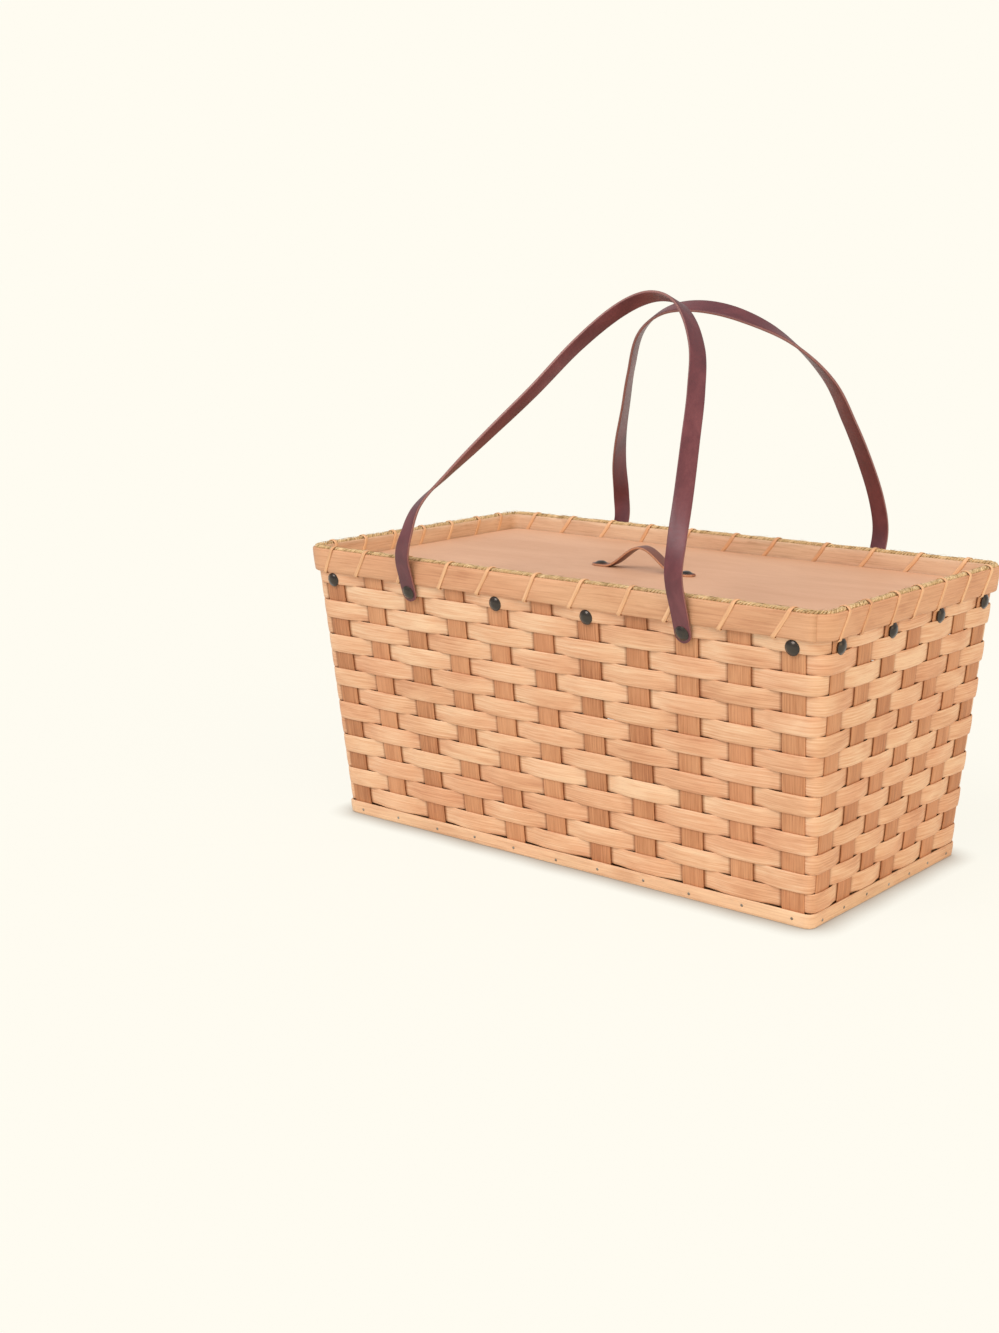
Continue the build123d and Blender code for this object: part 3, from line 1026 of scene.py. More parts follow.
    def build(self, weaver_finish: Material, stake_finish: Material) -> None:
        """Builds and seats every weaver and upright.

        Args:
            weaver_finish: The weavers' material.
            stake_finish: The uprights' material.
        """
        for row, node in enumerate(self.row_names):
            low = self.first_row + row * self.row_pitch
            piece = self.weaver(row, low, low + self.row_height, weaver_finish, f"{node}_splint")
            seat(piece, BASKET_BODY, "weaver_splint", node)
        low = self.first_row + self.rows * self.row_pitch
        hidden = self.weaver(
            self.rows, low, self.hidden_row_top, weaver_finish, "weaver_under_rim_splint"
        )
        seat(hidden, BASKET_BODY, "weaver_splint", "weaver_under_rim")
        for wall in Wall:
            piece = self.uprights(wall, stake_finish)
            seat(piece, BASKET_BODY, "stake_splint", f"{wall.name.lower()}_stakes")


@dataclass
class Hoop:
    """A bent wooden band with its ends lapped over each other."""

    shape: WallShape
    low: float
    high: float
    inner_offset: float
    thick: float
    faces_out: bool = True
    lap_end: float = 10.42
    lap_beats: float = 1.3
    lap_lift: float = 0.0009
    steps_per_beat: int = 10
    grain_shift: float = 0.0

    def build(self, name: str, finish: Material) -> Piece:
        """Builds the band from its hidden end, once round, to the end that shows.

        Args:
            name: The piece's name.
            finish: Its material.

        Returns:
            The piece.
        """
        half = self.thick / 2
        outline = strip_outline((self.high - self.low) / 2, half, 0.00035)
        side = 1 if self.faces_out else -1
        across = [value + self.grain_shift for value in outline_travel(outline)]
        start = self.lap_end - self.lap_beats
        total = int((self.shape.beats + self.lap_beats) * self.steps_per_beat)
        sections, travel, lengthwise = [], [], []
        for i in range(total + 1):
            beat = start + i / self.steps_per_beat
            near_start = ease(1 - i / (self.lap_beats * self.steps_per_beat))
            near_end = ease(1 - (total - i) / (self.lap_beats * self.steps_per_beat))
            scale = 1 - 0.75 * near_start - 0.6 * near_end
            lift = -0.75 * half * near_start + (0.35 * half + self.lap_lift) * near_end
            ring = []
            for height, thick in outline:
                wobble = 0.00025 * noise.noise(Vector((beat * 0.8, height * 60, self.grain_shift * 9)))
                z = (self.low + self.high) / 2 + height + wobble
                offset = self.inner_offset + half + side * (thick * scale + lift)
                point, _ = self.shape.place(beat, z, offset)
                ring.append(point)
            if not self.faces_out:
                ring.reverse()
            sections.append(ring)
            travel.append(i * BEAT_LENGTH / self.steps_per_beat)
            lengthwise.append(0.18 * noise.noise(Vector((beat * 0.5, self.grain_shift, 3))))
        strip = StripMesh()
        strip.sweep(sections, travel, across, lengthwise)
        return strip.build(name, finish)


@dataclass
class FillerRope:
    """The twisted seagrass that fills the top of the rim between the hoops."""

    shape: WallShape
    level: float = 0.2619
    strands: int = 3
    strand_radius: float = 0.00145
    twist_radius: float = 0.0016
    turns_per_beat: float = 5.2
    steps_per_turn: int = 8
    sides: int = 6
    whiskers: int = 420
    whisker_reach: float = 0.0026
    seed: int = 5

    def strand(self, strip: StripMesh, index: int) -> None:
        """Adds one strand, all the way round.

        Args:
            strip: The mesh that it is added to.
            index: Which strand it is.
        """
        turns = round(self.turns_per_beat * self.shape.beats)
        total = turns * self.steps_per_turn
        sections, travel, lengthwise = [], [], []
        for i in range(total):
            beat = self.shape.beats * i / total
            angle = 2 * pi * (i / self.steps_per_turn + index / self.strands)
            swell = 1 + 0.22 * noise.noise(Vector((beat * 3.1, index * 9.0, 0)))
            centre_out = self.twist_radius * cos(angle)
            centre_up = self.twist_radius * sin(angle) * 0.85
            centre_up += 0.0004 * noise.noise(Vector((beat * 1.7, 3.0, 8.0)))
            ring = []
            for j in range(self.sides):
                around = 2 * pi * j / self.sides + angle * 0.5
                lump = noise.noise(Vector((i * 0.31, j * 1.7, index)))
                radius = self.strand_radius * swell * (1 + 0.12 * lump)
                out = centre_out + radius * cos(around)
                up = centre_up + radius * sin(around)
                point, _ = self.shape.place(beat, self.level + up, out)
                ring.append(point)
            sections.append(ring)
            lengthwise.append(0.35 * noise.noise(Vector((beat * 6.0, index * 4.0, 2.0))))
            travel.append(beat * BEAT_LENGTH)
        travel.append(self.shape.beats * BEAT_LENGTH)
        across = [index * 0.05 + 0.0016 * j for j in range(self.sides + 1)]
        strip.sweep(sections, travel, across, lengthwise, closed=True)

    def whisker(self, strip: StripMesh, rng: random.Random) -> None:
        """Adds one loose grass fibre that stands away from the rope.

        Args:
            strip: The mesh that it is added to.
            rng: The random numbers that place it.
        """
        beat = rng.uniform(0, self.shape.beats)
        side = rng.uniform(-1.0, 1.0)
        length = rng.uniform(0.004, 0.010) * rng.choice((-1, 1))
        rise = rng.uniform(0.0002, 0.0019)
        thin = rng.uniform(0.00012, 0.00024)
        sections, steps = [], 4
        for i in range(steps + 1):
            share = i / steps
            taper = thin * (1 - 0.8 * share)
            middle_up = self.whisker_reach * sqrt(1 - 0.6 * side * side) + rise * share * share
            ring = []
            for j in range(3):
                around = 2 * pi * j / 3
                point, _ = self.shape.place(
                    beat + share * length / BEAT_LENGTH,
                    self.level + middle_up + taper * sin(around),
                    side * self.whisker_reach + taper * cos(around) + 0.0008 * share * side,
                )
                ring.append(point)
            if length < 0:
                ring.reverse()
            sections.append(ring)
        travel = [abs(length) * i / steps for i in range(steps + 1)]
        tone = rng.uniform(-0.3, 0.6)
        strip.sweep(sections, travel, [0.0, thin, 2 * thin, 3 * thin], [tone] * (steps + 1))

    def build(self, finish: Material) -> Piece:
        """Builds the rope and its loose fibres.

        Args:
            finish: The seagrass material.

        Returns:
            The piece.
        """
        strip = StripMesh()
        for index in range(self.strands):
            self.strand(strip, index)
        rng = random.Random(self.seed)
        for _ in range(self.whiskers):
            self.whisker(strip, rng)
        return strip.build("seagrass_filler", finish)


@dataclass
class Lashing:
    """The cane wraps that bind the hoops and the filler together."""

    shape: WallShape
    rim: RimSizes
    width: float = 0.0038
    thick: float = 0.0009
    slant: float = 0.29
    crest: float = 0.2651
    gap_share: float = 0.94
    corner_share: float = 0.10
    stand_off: float = 0.0006
    seed: int = 3

    def wrap_route(self, beat: float, rng: random.Random) -> list[tuple[float, float, float, float, float]]:
        """The way that one wrap takes round the rim.

        Args:
            beat: Where it crosses the top of the rim.
            rng: The random numbers that make each wrap differ.

        Returns:
            Rows of beat, height, offset, and the outward and upward parts of its facing.
        """
        face = self.rim.hoop_offset + self.rim.hoop_thick + self.stand_off
        foot = self.shape.rim_top - self.rim.hoop_height
        inner_foot = self.rim.inner_bottom
        lean = self.slant * rng.uniform(0.82, 1.15)
        shift = rng.uniform(-0.05, 0.05)
        key = [
            (-1.0, foot - 0.0007, face - 0.0032, 0.0, -1.0),
            (-1.0, foot - 0.0009, face - 0.0012, 0.3, -1.0),
            (-0.98, foot + 0.0002, face + 0.0002, 1.0, -0.4),
            (-0.9, foot + 0.0020, face, 1.0, 0.0),
        ]
        top = self.shape.rim_top
        shoulder = top - 0.0015
        for share in (0.25, 0.5, 0.75):
            height = lerp(foot + 0.002, shoulder, share)
            key.append((lerp(-0.9, -0.08, share), height, face, 1.0, 0.0))
        key += [
            (-0.06, top - 0.0006, face, 1.0, 0.2),
            (-0.03, top + 0.0010, face - 0.0010, 0.8, 0.6),
            (0.0, self.crest - 0.0007, face - 0.0028, 0.35, 1.0),
            (0.02, self.crest, 0.0, 0.0, 1.0),
            (0.04, self.crest - 0.0007, 0.0028 - face, -0.35, 1.0),
            (0.07, top + 0.0010, 0.0010 - face, -0.8, 0.6),
            (0.1, top - 0.0006, -face, -1.0, 0.2),
        ]
        for share in (0.2, 0.45, 0.7, 0.95):
            height = lerp(shoulder, inner_foot + 0.001, share)
            key.append((lerp(0.1, 0.95, share), height, -face, -1.0, 0.0))
        key += [
            (0.97, inner_foot - 0.0002, 0.0004 - face, -0.6, -0.6),
            (0.98, inner_foot - 0.0005, 0.0022 - face, 0.0, -1.0),
        ]
        return [(beat + shift + share * lean, z, offset, out, up) for share, z, offset, out, up in key]

    def wrap(self, strip: StripMesh, beat: float, rng: random.Random) -> None:
        """Adds one wrap.

        Args:
            strip: The mesh that it is added to.
            beat: Where it crosses the top of the rim.
            rng: The random numbers that make each wrap differ.
        """
        centres, facings = [], []
        for place_beat, z, offset, out, up in self.wrap_route(beat, rng):
            point, outward = self.shape.place(place_beat, z, offset)
            centres.append(point)
            facings.append((outward * out + Vector((0, 0, up))).normalized())
        shares = [
            (-1.0, 0.0), (-0.85, 0.75), (-0.35, 1.05), (0.35, 1.05), (0.85, 0.75), (1.0, 0.0),
            (0.85, -0.8), (-0.85, -0.8),
        ]
        outline = [(a * (self.width / 2), b * (self.thick / 2)) for a, b in shares]
        sections = []
        for i, centre in enumerate(centres):
            ahead = heading(centres, i)
            sideways = ahead.cross(facings[i]).normalized()
            facing = sideways.cross(ahead).normalized()
            sections.append([centre + sideways * a + facing * b for a, b in outline])
        travel = travel_along(centres)
        across = [beat * 0.01 + value for value in outline_travel(outline)]
        tone = rng.uniform(-0.2, 0.25)
        strip.sweep(sections, travel, across, [tone] * len(centres))

    def build(self, finish: Material) -> Piece:
        """Builds one wrap for each gap between a wall's uprights, and one at each corner.

        Args:
            finish: The cane's material.

        Returns:
            The piece.
        """
        rng = random.Random(self.seed)
        strip = StripMesh()
        for wall in Wall:
            first = self.shape.first_beat(wall)
            self.wrap(strip, first + self.corner_share, rng)
            for gap in range(self.shape.count(wall) - 1):
                self.wrap(strip, first + gap + self.gap_share, rng)
        return strip.build("cane_lashing", finish)


@dataclass
class Rim:
    """The two hoops, the filler rope and the lashing."""

    shape: WallShape
    sizes: RimSizes

    def build(
        self,
        hoop_finish: Material,
        inner_finish: Material,
        rope_finish: Material,
        cane_finish: Material,
    ) -> None:
        """Builds and seats the rim.

        Args:
            hoop_finish: The outer hoop's material.
            inner_finish: The inner hoop's material.
            rope_finish: The filler's material.
            cane_finish: The lashing's material.
        """
        top = self.shape.rim_top
        outer = Hoop(
            self.shape, top - self.sizes.hoop_height, top, self.sizes.hoop_offset, self.sizes.hoop_thick,
            grain_shift=0.4,
        )
        seat(outer.build("outer_hoop", hoop_finish), BASKET_BODY, "hoop_wood", "outer_rim_hoop")
        inner_face = -self.sizes.hoop_offset - self.sizes.hoop_thick
        inner = Hoop(
            self.shape, self.sizes.inner_bottom, top, inner_face, self.sizes.hoop_thick, faces_out=False,
            lap_end=27.3, lap_lift=0.0004, grain_shift=0.9,
        )
        seat(inner.build("inner_hoop", inner_finish), BASKET_BODY, "hoop_wood", "inner_rim_hoop")
        rope = FillerRope(self.shape).build(rope_finish)
        seat(rope, BASKET_BODY, "seagrass", "rim_filler_rope")
        lashing = Lashing(self.shape, self.sizes).build(cane_finish)
        seat(lashing, BASKET_BODY, "cane", "rim_lashing")


@dataclass
class Foot:
    """The band round the foot of the wall, its nails and the base board."""

    shape: WallShape
    height: float = 0.0127
    inner_offset: float = 0.00075
    thick: float = 0.002
    nail_level: float = 0.006
    nail_radius: float = 0.0013
    seed: int = 21

    def nails(self, finish: Material) -> Piece:
        """Builds one small nail head for each upright.

        Args:
            finish: The nails' material.

        Returns:
            The piece.
        """
        rng = random.Random(self.seed)
        strip = StripMesh()
        head = [(0.001, -0.0008), (self.nail_radius, -0.0002), (self.nail_radius, 0.0001)]
        head += [(self.nail_radius * 0.8, 0.00035), (self.nail_radius * 0.3, 0.0005)]
        offset = self.inner_offset + self.thick + 0.0003
        for wall in Wall:
            for index in range(self.shape.count(wall)):
                level = self.nail_level + rng.uniform(-0.0012, 0.0012)
                place = self.shape.seat_plane(wall, index, offset, level, self.shape.lean(wall))
                place = place @ Matrix.Translation((rng.uniform(-0.003, 0.003), 0, 0))
                strip.turned(head, place, 12)
        return strip.build("foot_nails", finish)

    def build(self, band_finish: Material, nail_finish: Material, board_finish: Material) -> None:
        """Builds and seats the foot.

        Args:
            band_finish: The band's material.
            nail_finish: The nails' material.
            board_finish: The base board's material.
        """
        band = Hoop(
            self.shape, 0.0002, self.height, self.inner_offset, self.thick, lap_end=30.6, lap_lift=0.0006,
            grain_shift=1.3,
        )
        seat(band.build("foot_band", band_finish), BASKET_BODY, "hoop_wood", "base_band")
        seat(self.nails(nail_finish), BASKET_BODY, "nail_metal", "base_nails")
        dress("base_board", board_finish)


@dataclass
class Rivets:
    """The domed caps under the rim."""

    shape: WallShape
    level: float = 0.2333
    radius: float = 0.0064
    rise: float = 0.0029
    long_seat: float = 0.0026
    end_seat: float = 0.0022
    handle_places: tuple[int, int] = (2, 8)

    def cap_profile(self, radius: float, rise: float) -> list[tuple[float, float]]:
        """The outline of a domed cap with a thin rolled rim, as radius and height pairs."""
        shares = (
            (0.96, -0.25), (1.0, 0.0), (1.02, 0.10), (1.0, 0.20), (0.95, 0.26), (0.91, 0.27), (0.86, 0.36),
            (0.74, 0.58), (0.58, 0.78), (0.40, 0.91), (0.20, 0.98), (0.05, 1.0),
        )
        return [(radius * a, rise * b) for a, b in shares]

    def plain(self, wall: Wall, finish: Material) -> Piece:
        """Builds the caps of one wall that hold no strap.

        Args:
            wall: The wall.
            finish: The caps' material.

        Returns:
            The piece.
        """
        strip = StripMesh()
        offset = self.long_seat if wall.is_long else self.end_seat
        for index in range(0, self.shape.count(wall), 2):
            if wall.is_long and index in self.handle_places:
                continue
            place = self.shape.seat_plane(wall, index, offset, self.level, self.shape.lean(wall))
            strip.turned(self.cap_profile(self.radius, self.rise), place)
        return strip.build(f"{wall.name.lower()}_rivet_caps", finish)

    def build(self, finish: Material, washer_finish: Material) -> None:
        """Builds and seats the caps, and dresses the washers inside.

        Args:
            finish: The caps' material.
            washer_finish: The washers' material.
        """
        for wall in Wall:
            name = wall.name.lower()
            seat(self.plain(wall, finish), BASKET_BODY, "rivet_metal", f"{name}_wall_rivets")
        dress("rivet_washers", washer_finish)


# Where each strap runs between its flex lines, in millimetres: x, distance from the basket's middle
# plane towards its own wall, height
FRONT_STRAP_ROUTE = (
    (-147, 162.5, 265), (-141, 164, 284), (-134, 156, 311), (-116, 137, 338), (-93.5, 108, 372),
    (-69, 73, 410.5), (-45, 38, 451.5), (-16, 14, 481.5), (16, 9.5, 492.5), (47.5, 15.5, 484.5),
    (78, 36, 453.5), (100.5, 68.5, 417), (120, 104.5, 378.5), (137.5, 139, 336.5), (145, 158, 303.5),
    (146.5, 163.5, 278),
)
BACK_STRAP_ROUTE = (
    (-144, 163, 265), (-145.5, 164, 290), (-137.5, 149, 322), (-120, 127, 352), (-91, 95, 387),
    (-59.5, 60, 423), (-26.5, 30, 460), (9.5, 16.5, 479.5), (48, 13.5, 483.5), (88, 19, 475.5),
    (124.5, 36.5, 455), (146, 66.5, 422), (148.5, 102.5, 382), (148, 136, 342), (148.5, 158, 306.5),
    (150, 164, 278),
)
# How far the leather has turned, in degrees, at even shares of the way from a flex line up to the
# crown: first the leg on the left as the front is seen, then the leg on the right
FRONT_STRAP_TURNS = (
    (0, 14, 38, 61, 73, 79, 85, 97, 110),
    (0, 10, 25, 38, 45, 48, 56, 65, 70),
)
BACK_STRAP_TURNS = (
    (0, 42, 66, 83, 93, 97, 94, 78, 68),
    (0, 1, 3, 8, 14, 24, 46, 84, 112),
)


def smooth_line(knots: Sequence[Vector], steps: int) -> list[Vector]:
    """A smooth line through its knots.

    Args:
        knots: The points that it passes through.
        steps: How many points each span is cut into.

    Returns:
        The points of the line.
    """
    line = []
    for i in range(len(knots) - 1):
        before = knots[max(i - 1, 0)]
        start, end = knots[i], knots[i + 1]
        after = knots[min(i + 2, len(knots) - 1)]
        chord = (end - start).length
        leave = (end - before).normalized() * chord if i else (end - start)
        arrive = (after - start).normalized() * chord if i + 2 < len(knots) else (end - start)
        for step in range(steps):
            t = step / steps
            t2, t3 = t * t, t * t * t
            point = start * (2 * t3 - 3 * t2 + 1) + leave * (t3 - 2 * t2 + t)
            point += end * (3 * t2 - 2 * t3) + arrive * (t3 - t2)
            line.append(point)
    line.append(knots[-1])
    return line


def leather_outline(half_width: float, half_thick: float) -> list[tuple[float, float, float]]:
    """The outline of a leather strap with slightly rounded edges.

    Args:
        half_width: Half the strap's width.
        half_thick: Half its thickness.

    Returns:
        Width, thickness and raw edge rows, once round.
    """
    bevel = half_thick * 0.42
    upper = [(-1.0, 0.0, 1.0), (-1.0, 0.45, 1.0), (-0.985, 0.72, 0.8), (-0.955, 0.92, 0.1), (-0.90, 1.0, 0.0)]
    upper += [(-0.5, 1.03, 0.0), (0.0, 1.05, 0.0)]
    rows = upper + [(-a, b, c) for a, b, c in reversed(upper[:-1])]
    lower = [(1.0, -0.45, 1.0), (0.97, -0.9, 0.6), (0.9, -1.0, 0.0), (0.0, -1.0, 0.0)]
    lower += [(-0.9, -1.0, 0.0), (-0.97, -0.9, 0.6), (-1.0, -0.45, 1.0)]
    return [(a * (half_width - bevel * 0.1), b * half_thick, c) for a, b, c in rows + lower]


@dataclass
class CarryingStrap:
    """One leather strap, from its rounded end under one rivet to its rounded end under the other."""

    shape: WallShape
    side: Side
    route: Sequence[tuple[float, float, float]]
    turns: Sequence[Sequence[float]]
    rivets: Rivets
    width: float = 0.016
    thick: float = 0.0026
    tilt: float = radians(17.6)
    middle_offset: float = 0.00535
    below_rivet: float = 0.009
    above_rivet: float = 0.0123
    bend_low: float = 0.0068
    bend_high: float = 0.0178

    @property
    def wall(self) -> Wall:
        """The wall that carries the strap."""
        return Wall.FRONT if self.side is Side.FRONT else Wall.BACK

    @property
    def body(self) -> str:
        """The body that the free strap belongs to."""
        return f"{self.side.value}_handle"

    def rivet_place(self, from_left: int) -> Matrix:
        """The middle of the leather at a rivet, the first seen from the front's left or the second."""
        index = self.rivets.handle_places[from_left]
        if self.side is Side.BACK:
            index = self.shape.count(self.wall) - 1 - index
        return self.shape.seat_plane(self.wall, index, self.middle_offset, self.rivets.level, self.tilt)

    def centre_line(self) -> list[Vector]:
        """The line along the middle of the strap, from one rounded end to the other."""
        left, right = self.rivet_place(0), self.rivet_place(1)
        knots = []
        for up in (-self.below_rivet, 0.0, self.above_rivet):
            knots.append(left @ Vector((0, up, 0)))
        for x, distance, z in self.route:
            knots.append(Vector((x, self.side.outward * distance, z)) / 1000)
        for up in (self.above_rivet, 0.0, -self.below_rivet):
            knots.append(right @ Vector((0, up, 0)))
        return smooth_line(knots, 14)

    def leg_turn(self, rising: bool, climb: float) -> float:
        """How far the leather has turned on the way up a leg.

        Args:
            rising: Whether it is the leg that starts the centre line.
            climb: The share of the way from the flex line up to the crown.

        Returns:
            The turn, in radians.
        """
        turns = self.turns[0] if rising else self.turns[1]
        place = climb * (len(turns) - 1)
        i = min(int(place), len(turns) - 2)
        before, after = turns[max(i - 1, 0)], turns[min(i + 2, len(turns) - 1)]
        t = place - i
        leave, arrive = (turns[i + 1] - before) / 2, (after - turns[i]) / 2
        turn = lerp(turns[i], turns[i + 1], ease(t)) + leave * t * (1 - t) ** 2
        turn -= arrive * t * t * (1 - t)
        return radians(turn)

    def build(self, finish: Material) -> Piece:
        """Builds the strap in place, and hides the CAD strap and its ends.

        Args:
            finish: The leather.

        Returns:
            The piece.
        """
        line = self.centre_line()
        travel = travel_along(line)
        length = travel[-1]
        outward = self.side.outward
        crown = max(range(len(line)), key=lambda i: line[i].z)
        flex = self.rivet_place(0) @ Vector((0, self.above_rivet, 0))
        lean = Vector((0, line[crown].y - flex.y, line[crown].z - flex.z)).normalized()
        crown_width = Vector((1, 0, 0)).cross(lean)
        start_turn = self.below_rivet + self.above_rivet
        outline = leather_outline(self.width / 2, self.thick / 2)
        sections = []
        for i, centre in enumerate(line):
            ahead = heading(line, i).normalized()
            rising = i < crown
            from_end = travel[i] if rising else length - travel[i]
            crown_travel = travel[crown] if rising else length - travel[crown]
            climb = max(0.0, (from_end - start_turn) / (crown_travel - start_turn))
            turn = self.leg_turn(rising, climb)
            end_width = Vector((-outward if rising else outward, 0, 0))
            sideways = end_width * cos(turn) + crown_width * sin(turn)
            sideways = (sideways - ahead * sideways.dot(ahead)).normalized()
            facing = sideways.cross(ahead)
            narrowed = rounded_share(from_end, self.width / 2, 0.06)
            sections.append([centre + sideways * (a * narrowed) + facing * b for a, b, _ in outline])
        across = outline_travel([(a, b) for a, b, _ in outline])
        strip = StripMesh()
        strip.sweep(sections, travel, across, None, [edge for _, _, edge in outline])
        piece = strip.build(f"{self.side.value}_carrying_strap", finish)
        place = self.rivet_place(0)
        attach(piece, BASKET_BODY)
        piece.parent = None
        low = place @ Vector((0, self.bend_low, 0))
        high = place @ Vector((0, self.bend_high, 0))
        low.x = high.x = 0.0
        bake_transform(piece)
        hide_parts(f"{self.side.value}_handle_strap", f"{self.side.value}_handle_ends")
        LOG.info("%s bends between %s and %s", piece.name, BASKET_BODY, self.body)
        return piece

    def caps(self, finish: Material) -> Piece:
        """Builds the two rivet caps on the leather.

        Args:
            finish: The caps' material.

        Returns:
            The piece.
        """
        strip = StripMesh()
        for from_left in (0, 1):
            place = self.rivet_place(from_left) @ Matrix.Translation((0, 0, self.thick / 2))
            strip.turned(self.rivets.cap_profile(self.rivets.radius, self.rivets.rise), place)
        piece = strip.build(f"{self.side.value}_handle_caps", finish)
        return seat(piece, BASKET_BODY, "rivet_metal", f"{self.side.value}_handle_rivets")


@dataclass
class Lid:
    """The lift-out board with its leather pull."""

    corner: float = 0.014
    edge_round: float = 0.0012
    rivets_apart: float = 0.095
    pull_end: float = 0.008
    pull_rise: float = 0.020
    pull_width: float = 0.0127
    pull_thick: float = 0.0022
    cap_radius: float = 0.0056
    cap_rise: float = 0.0024

    def board(self, finish: Material) -> Piece:
        """Builds the board with eased edges, inside the box of its solid.

        Args:
            finish: The board's material.

        Returns:
            The piece.
        """
        low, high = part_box("lid_board")
        half_length, half_width = high.x, high.y
        levels = [
            (self.edge_round, low.z), (self.edge_round * 0.3, low.z + self.edge_round * 0.3),
            (0.0, low.z + self.edge_round), (0.0, high.z - self.edge_round),
            (self.edge_round * 0.3, high.z - self.edge_round * 0.3), (self.edge_round, high.z),
        ]
        sections = []
        for inset, z in levels:
            ring = []
            radius = self.corner - inset
            for quarter, (x_side, y_side) in enumerate(((1, 1), (-1, 1), (-1, -1), (1, -1))):
                for step in range(13):
                    angle = (quarter + step / 12) * pi / 2
                    x = x_side * (half_length - self.corner) + radius * cos(angle)
                    y = y_side * (half_width - self.corner) + radius * sin(angle)
                    ring.append(Vector((x, y, z)))
            sections.append(ring)
        across = [0.01 * i for i in range(len(sections[0]) + 1)]
        strip = StripMesh()
        strip.sweep(sections, [z for _, z in levels], across)
        piece = strip.build("lid_plank", finish)
        piece.data.shade_flat()
        return seat(piece, LID_BODY, "lid_wood", "lid_board")

    def pull_line(self, top: float) -> list[Vector]:
        """The line along the middle of the pull: flat at both rivets and bowed up between them."""
        foot = self.rivets_apart / 2 - self.pull_end
        end = self.rivets_apart / 2 + self.pull_end
        level = top + self.pull_thick / 2
        line = [Vector((-end, 0, level))]
        for share in (0.25, 0.5, 0.75):
            line.append(Vector((lerp(-end, -foot, share), 0, level)))
        steps = 36
        for i in range(steps + 1):
            x = lerp(-foot, foot, i / steps)
            bow = (1 + cos(pi * x / foot)) / 2
            line.append(Vector((x, 0.0006 * sin(2 * pi * i / steps), level + self.pull_rise * bow ** 0.9)))
        for share in (0.25, 0.5, 0.75, 1.0):
            line.append(Vector((lerp(foot, end, share), 0, level)))
        return line

    def pull(self, finish: Material) -> Piece:
        """Builds the leather pull.

        Args:
            finish: The leather.

        Returns:
            The piece.
        """
        _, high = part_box("lid_board")
        line = self.pull_line(high.z)
        travel = travel_along(line)
        outline = leather_outline(self.pull_width / 2, self.pull_thick / 2)
        sections = []
        for i, centre in enumerate(line):
            ahead = heading(line, i).normalized()
            sideways = Vector((0, -1, 0))
            facing = sideways.cross(ahead)
            from_end = min(travel[i], travel[-1] - travel[i])
            narrowed = rounded_share(from_end, self.pull_width / 2, 0.45)
            sections.append([centre + sideways * (a * narrowed) + facing * b for a, b, _ in outline])
        across = [value + 0.31 for value in outline_travel([(a, b) for a, b, _ in outline])]
        strip = StripMesh()
        strip.sweep(sections, travel, across, None, [edge for _, _, edge in outline])
        return seat(strip.build("lid_pull_leather", finish), LID_BODY, "pull_leather", "lid_pull_strap")

    def caps(self, rivets: Rivets, finish: Material) -> Piece:
        """Builds the two caps on the pull.

        Args:
            rivets: The rivets whose outline the caps share.
            finish: The caps' material.

        Returns:
            The piece.
        """
        _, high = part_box("lid_board")
        strip = StripMesh()
        for side in (-1, 1):
            place = Matrix.Translation((side * self.rivets_apart / 2, 0, high.z + self.pull_thick))
            strip.turned(rivets.cap_profile(self.cap_radius, self.cap_rise), place)
        return seat(strip.build("lid_pull_caps", finish), LID_BODY, "rivet_metal", "lid_pull_rivets")


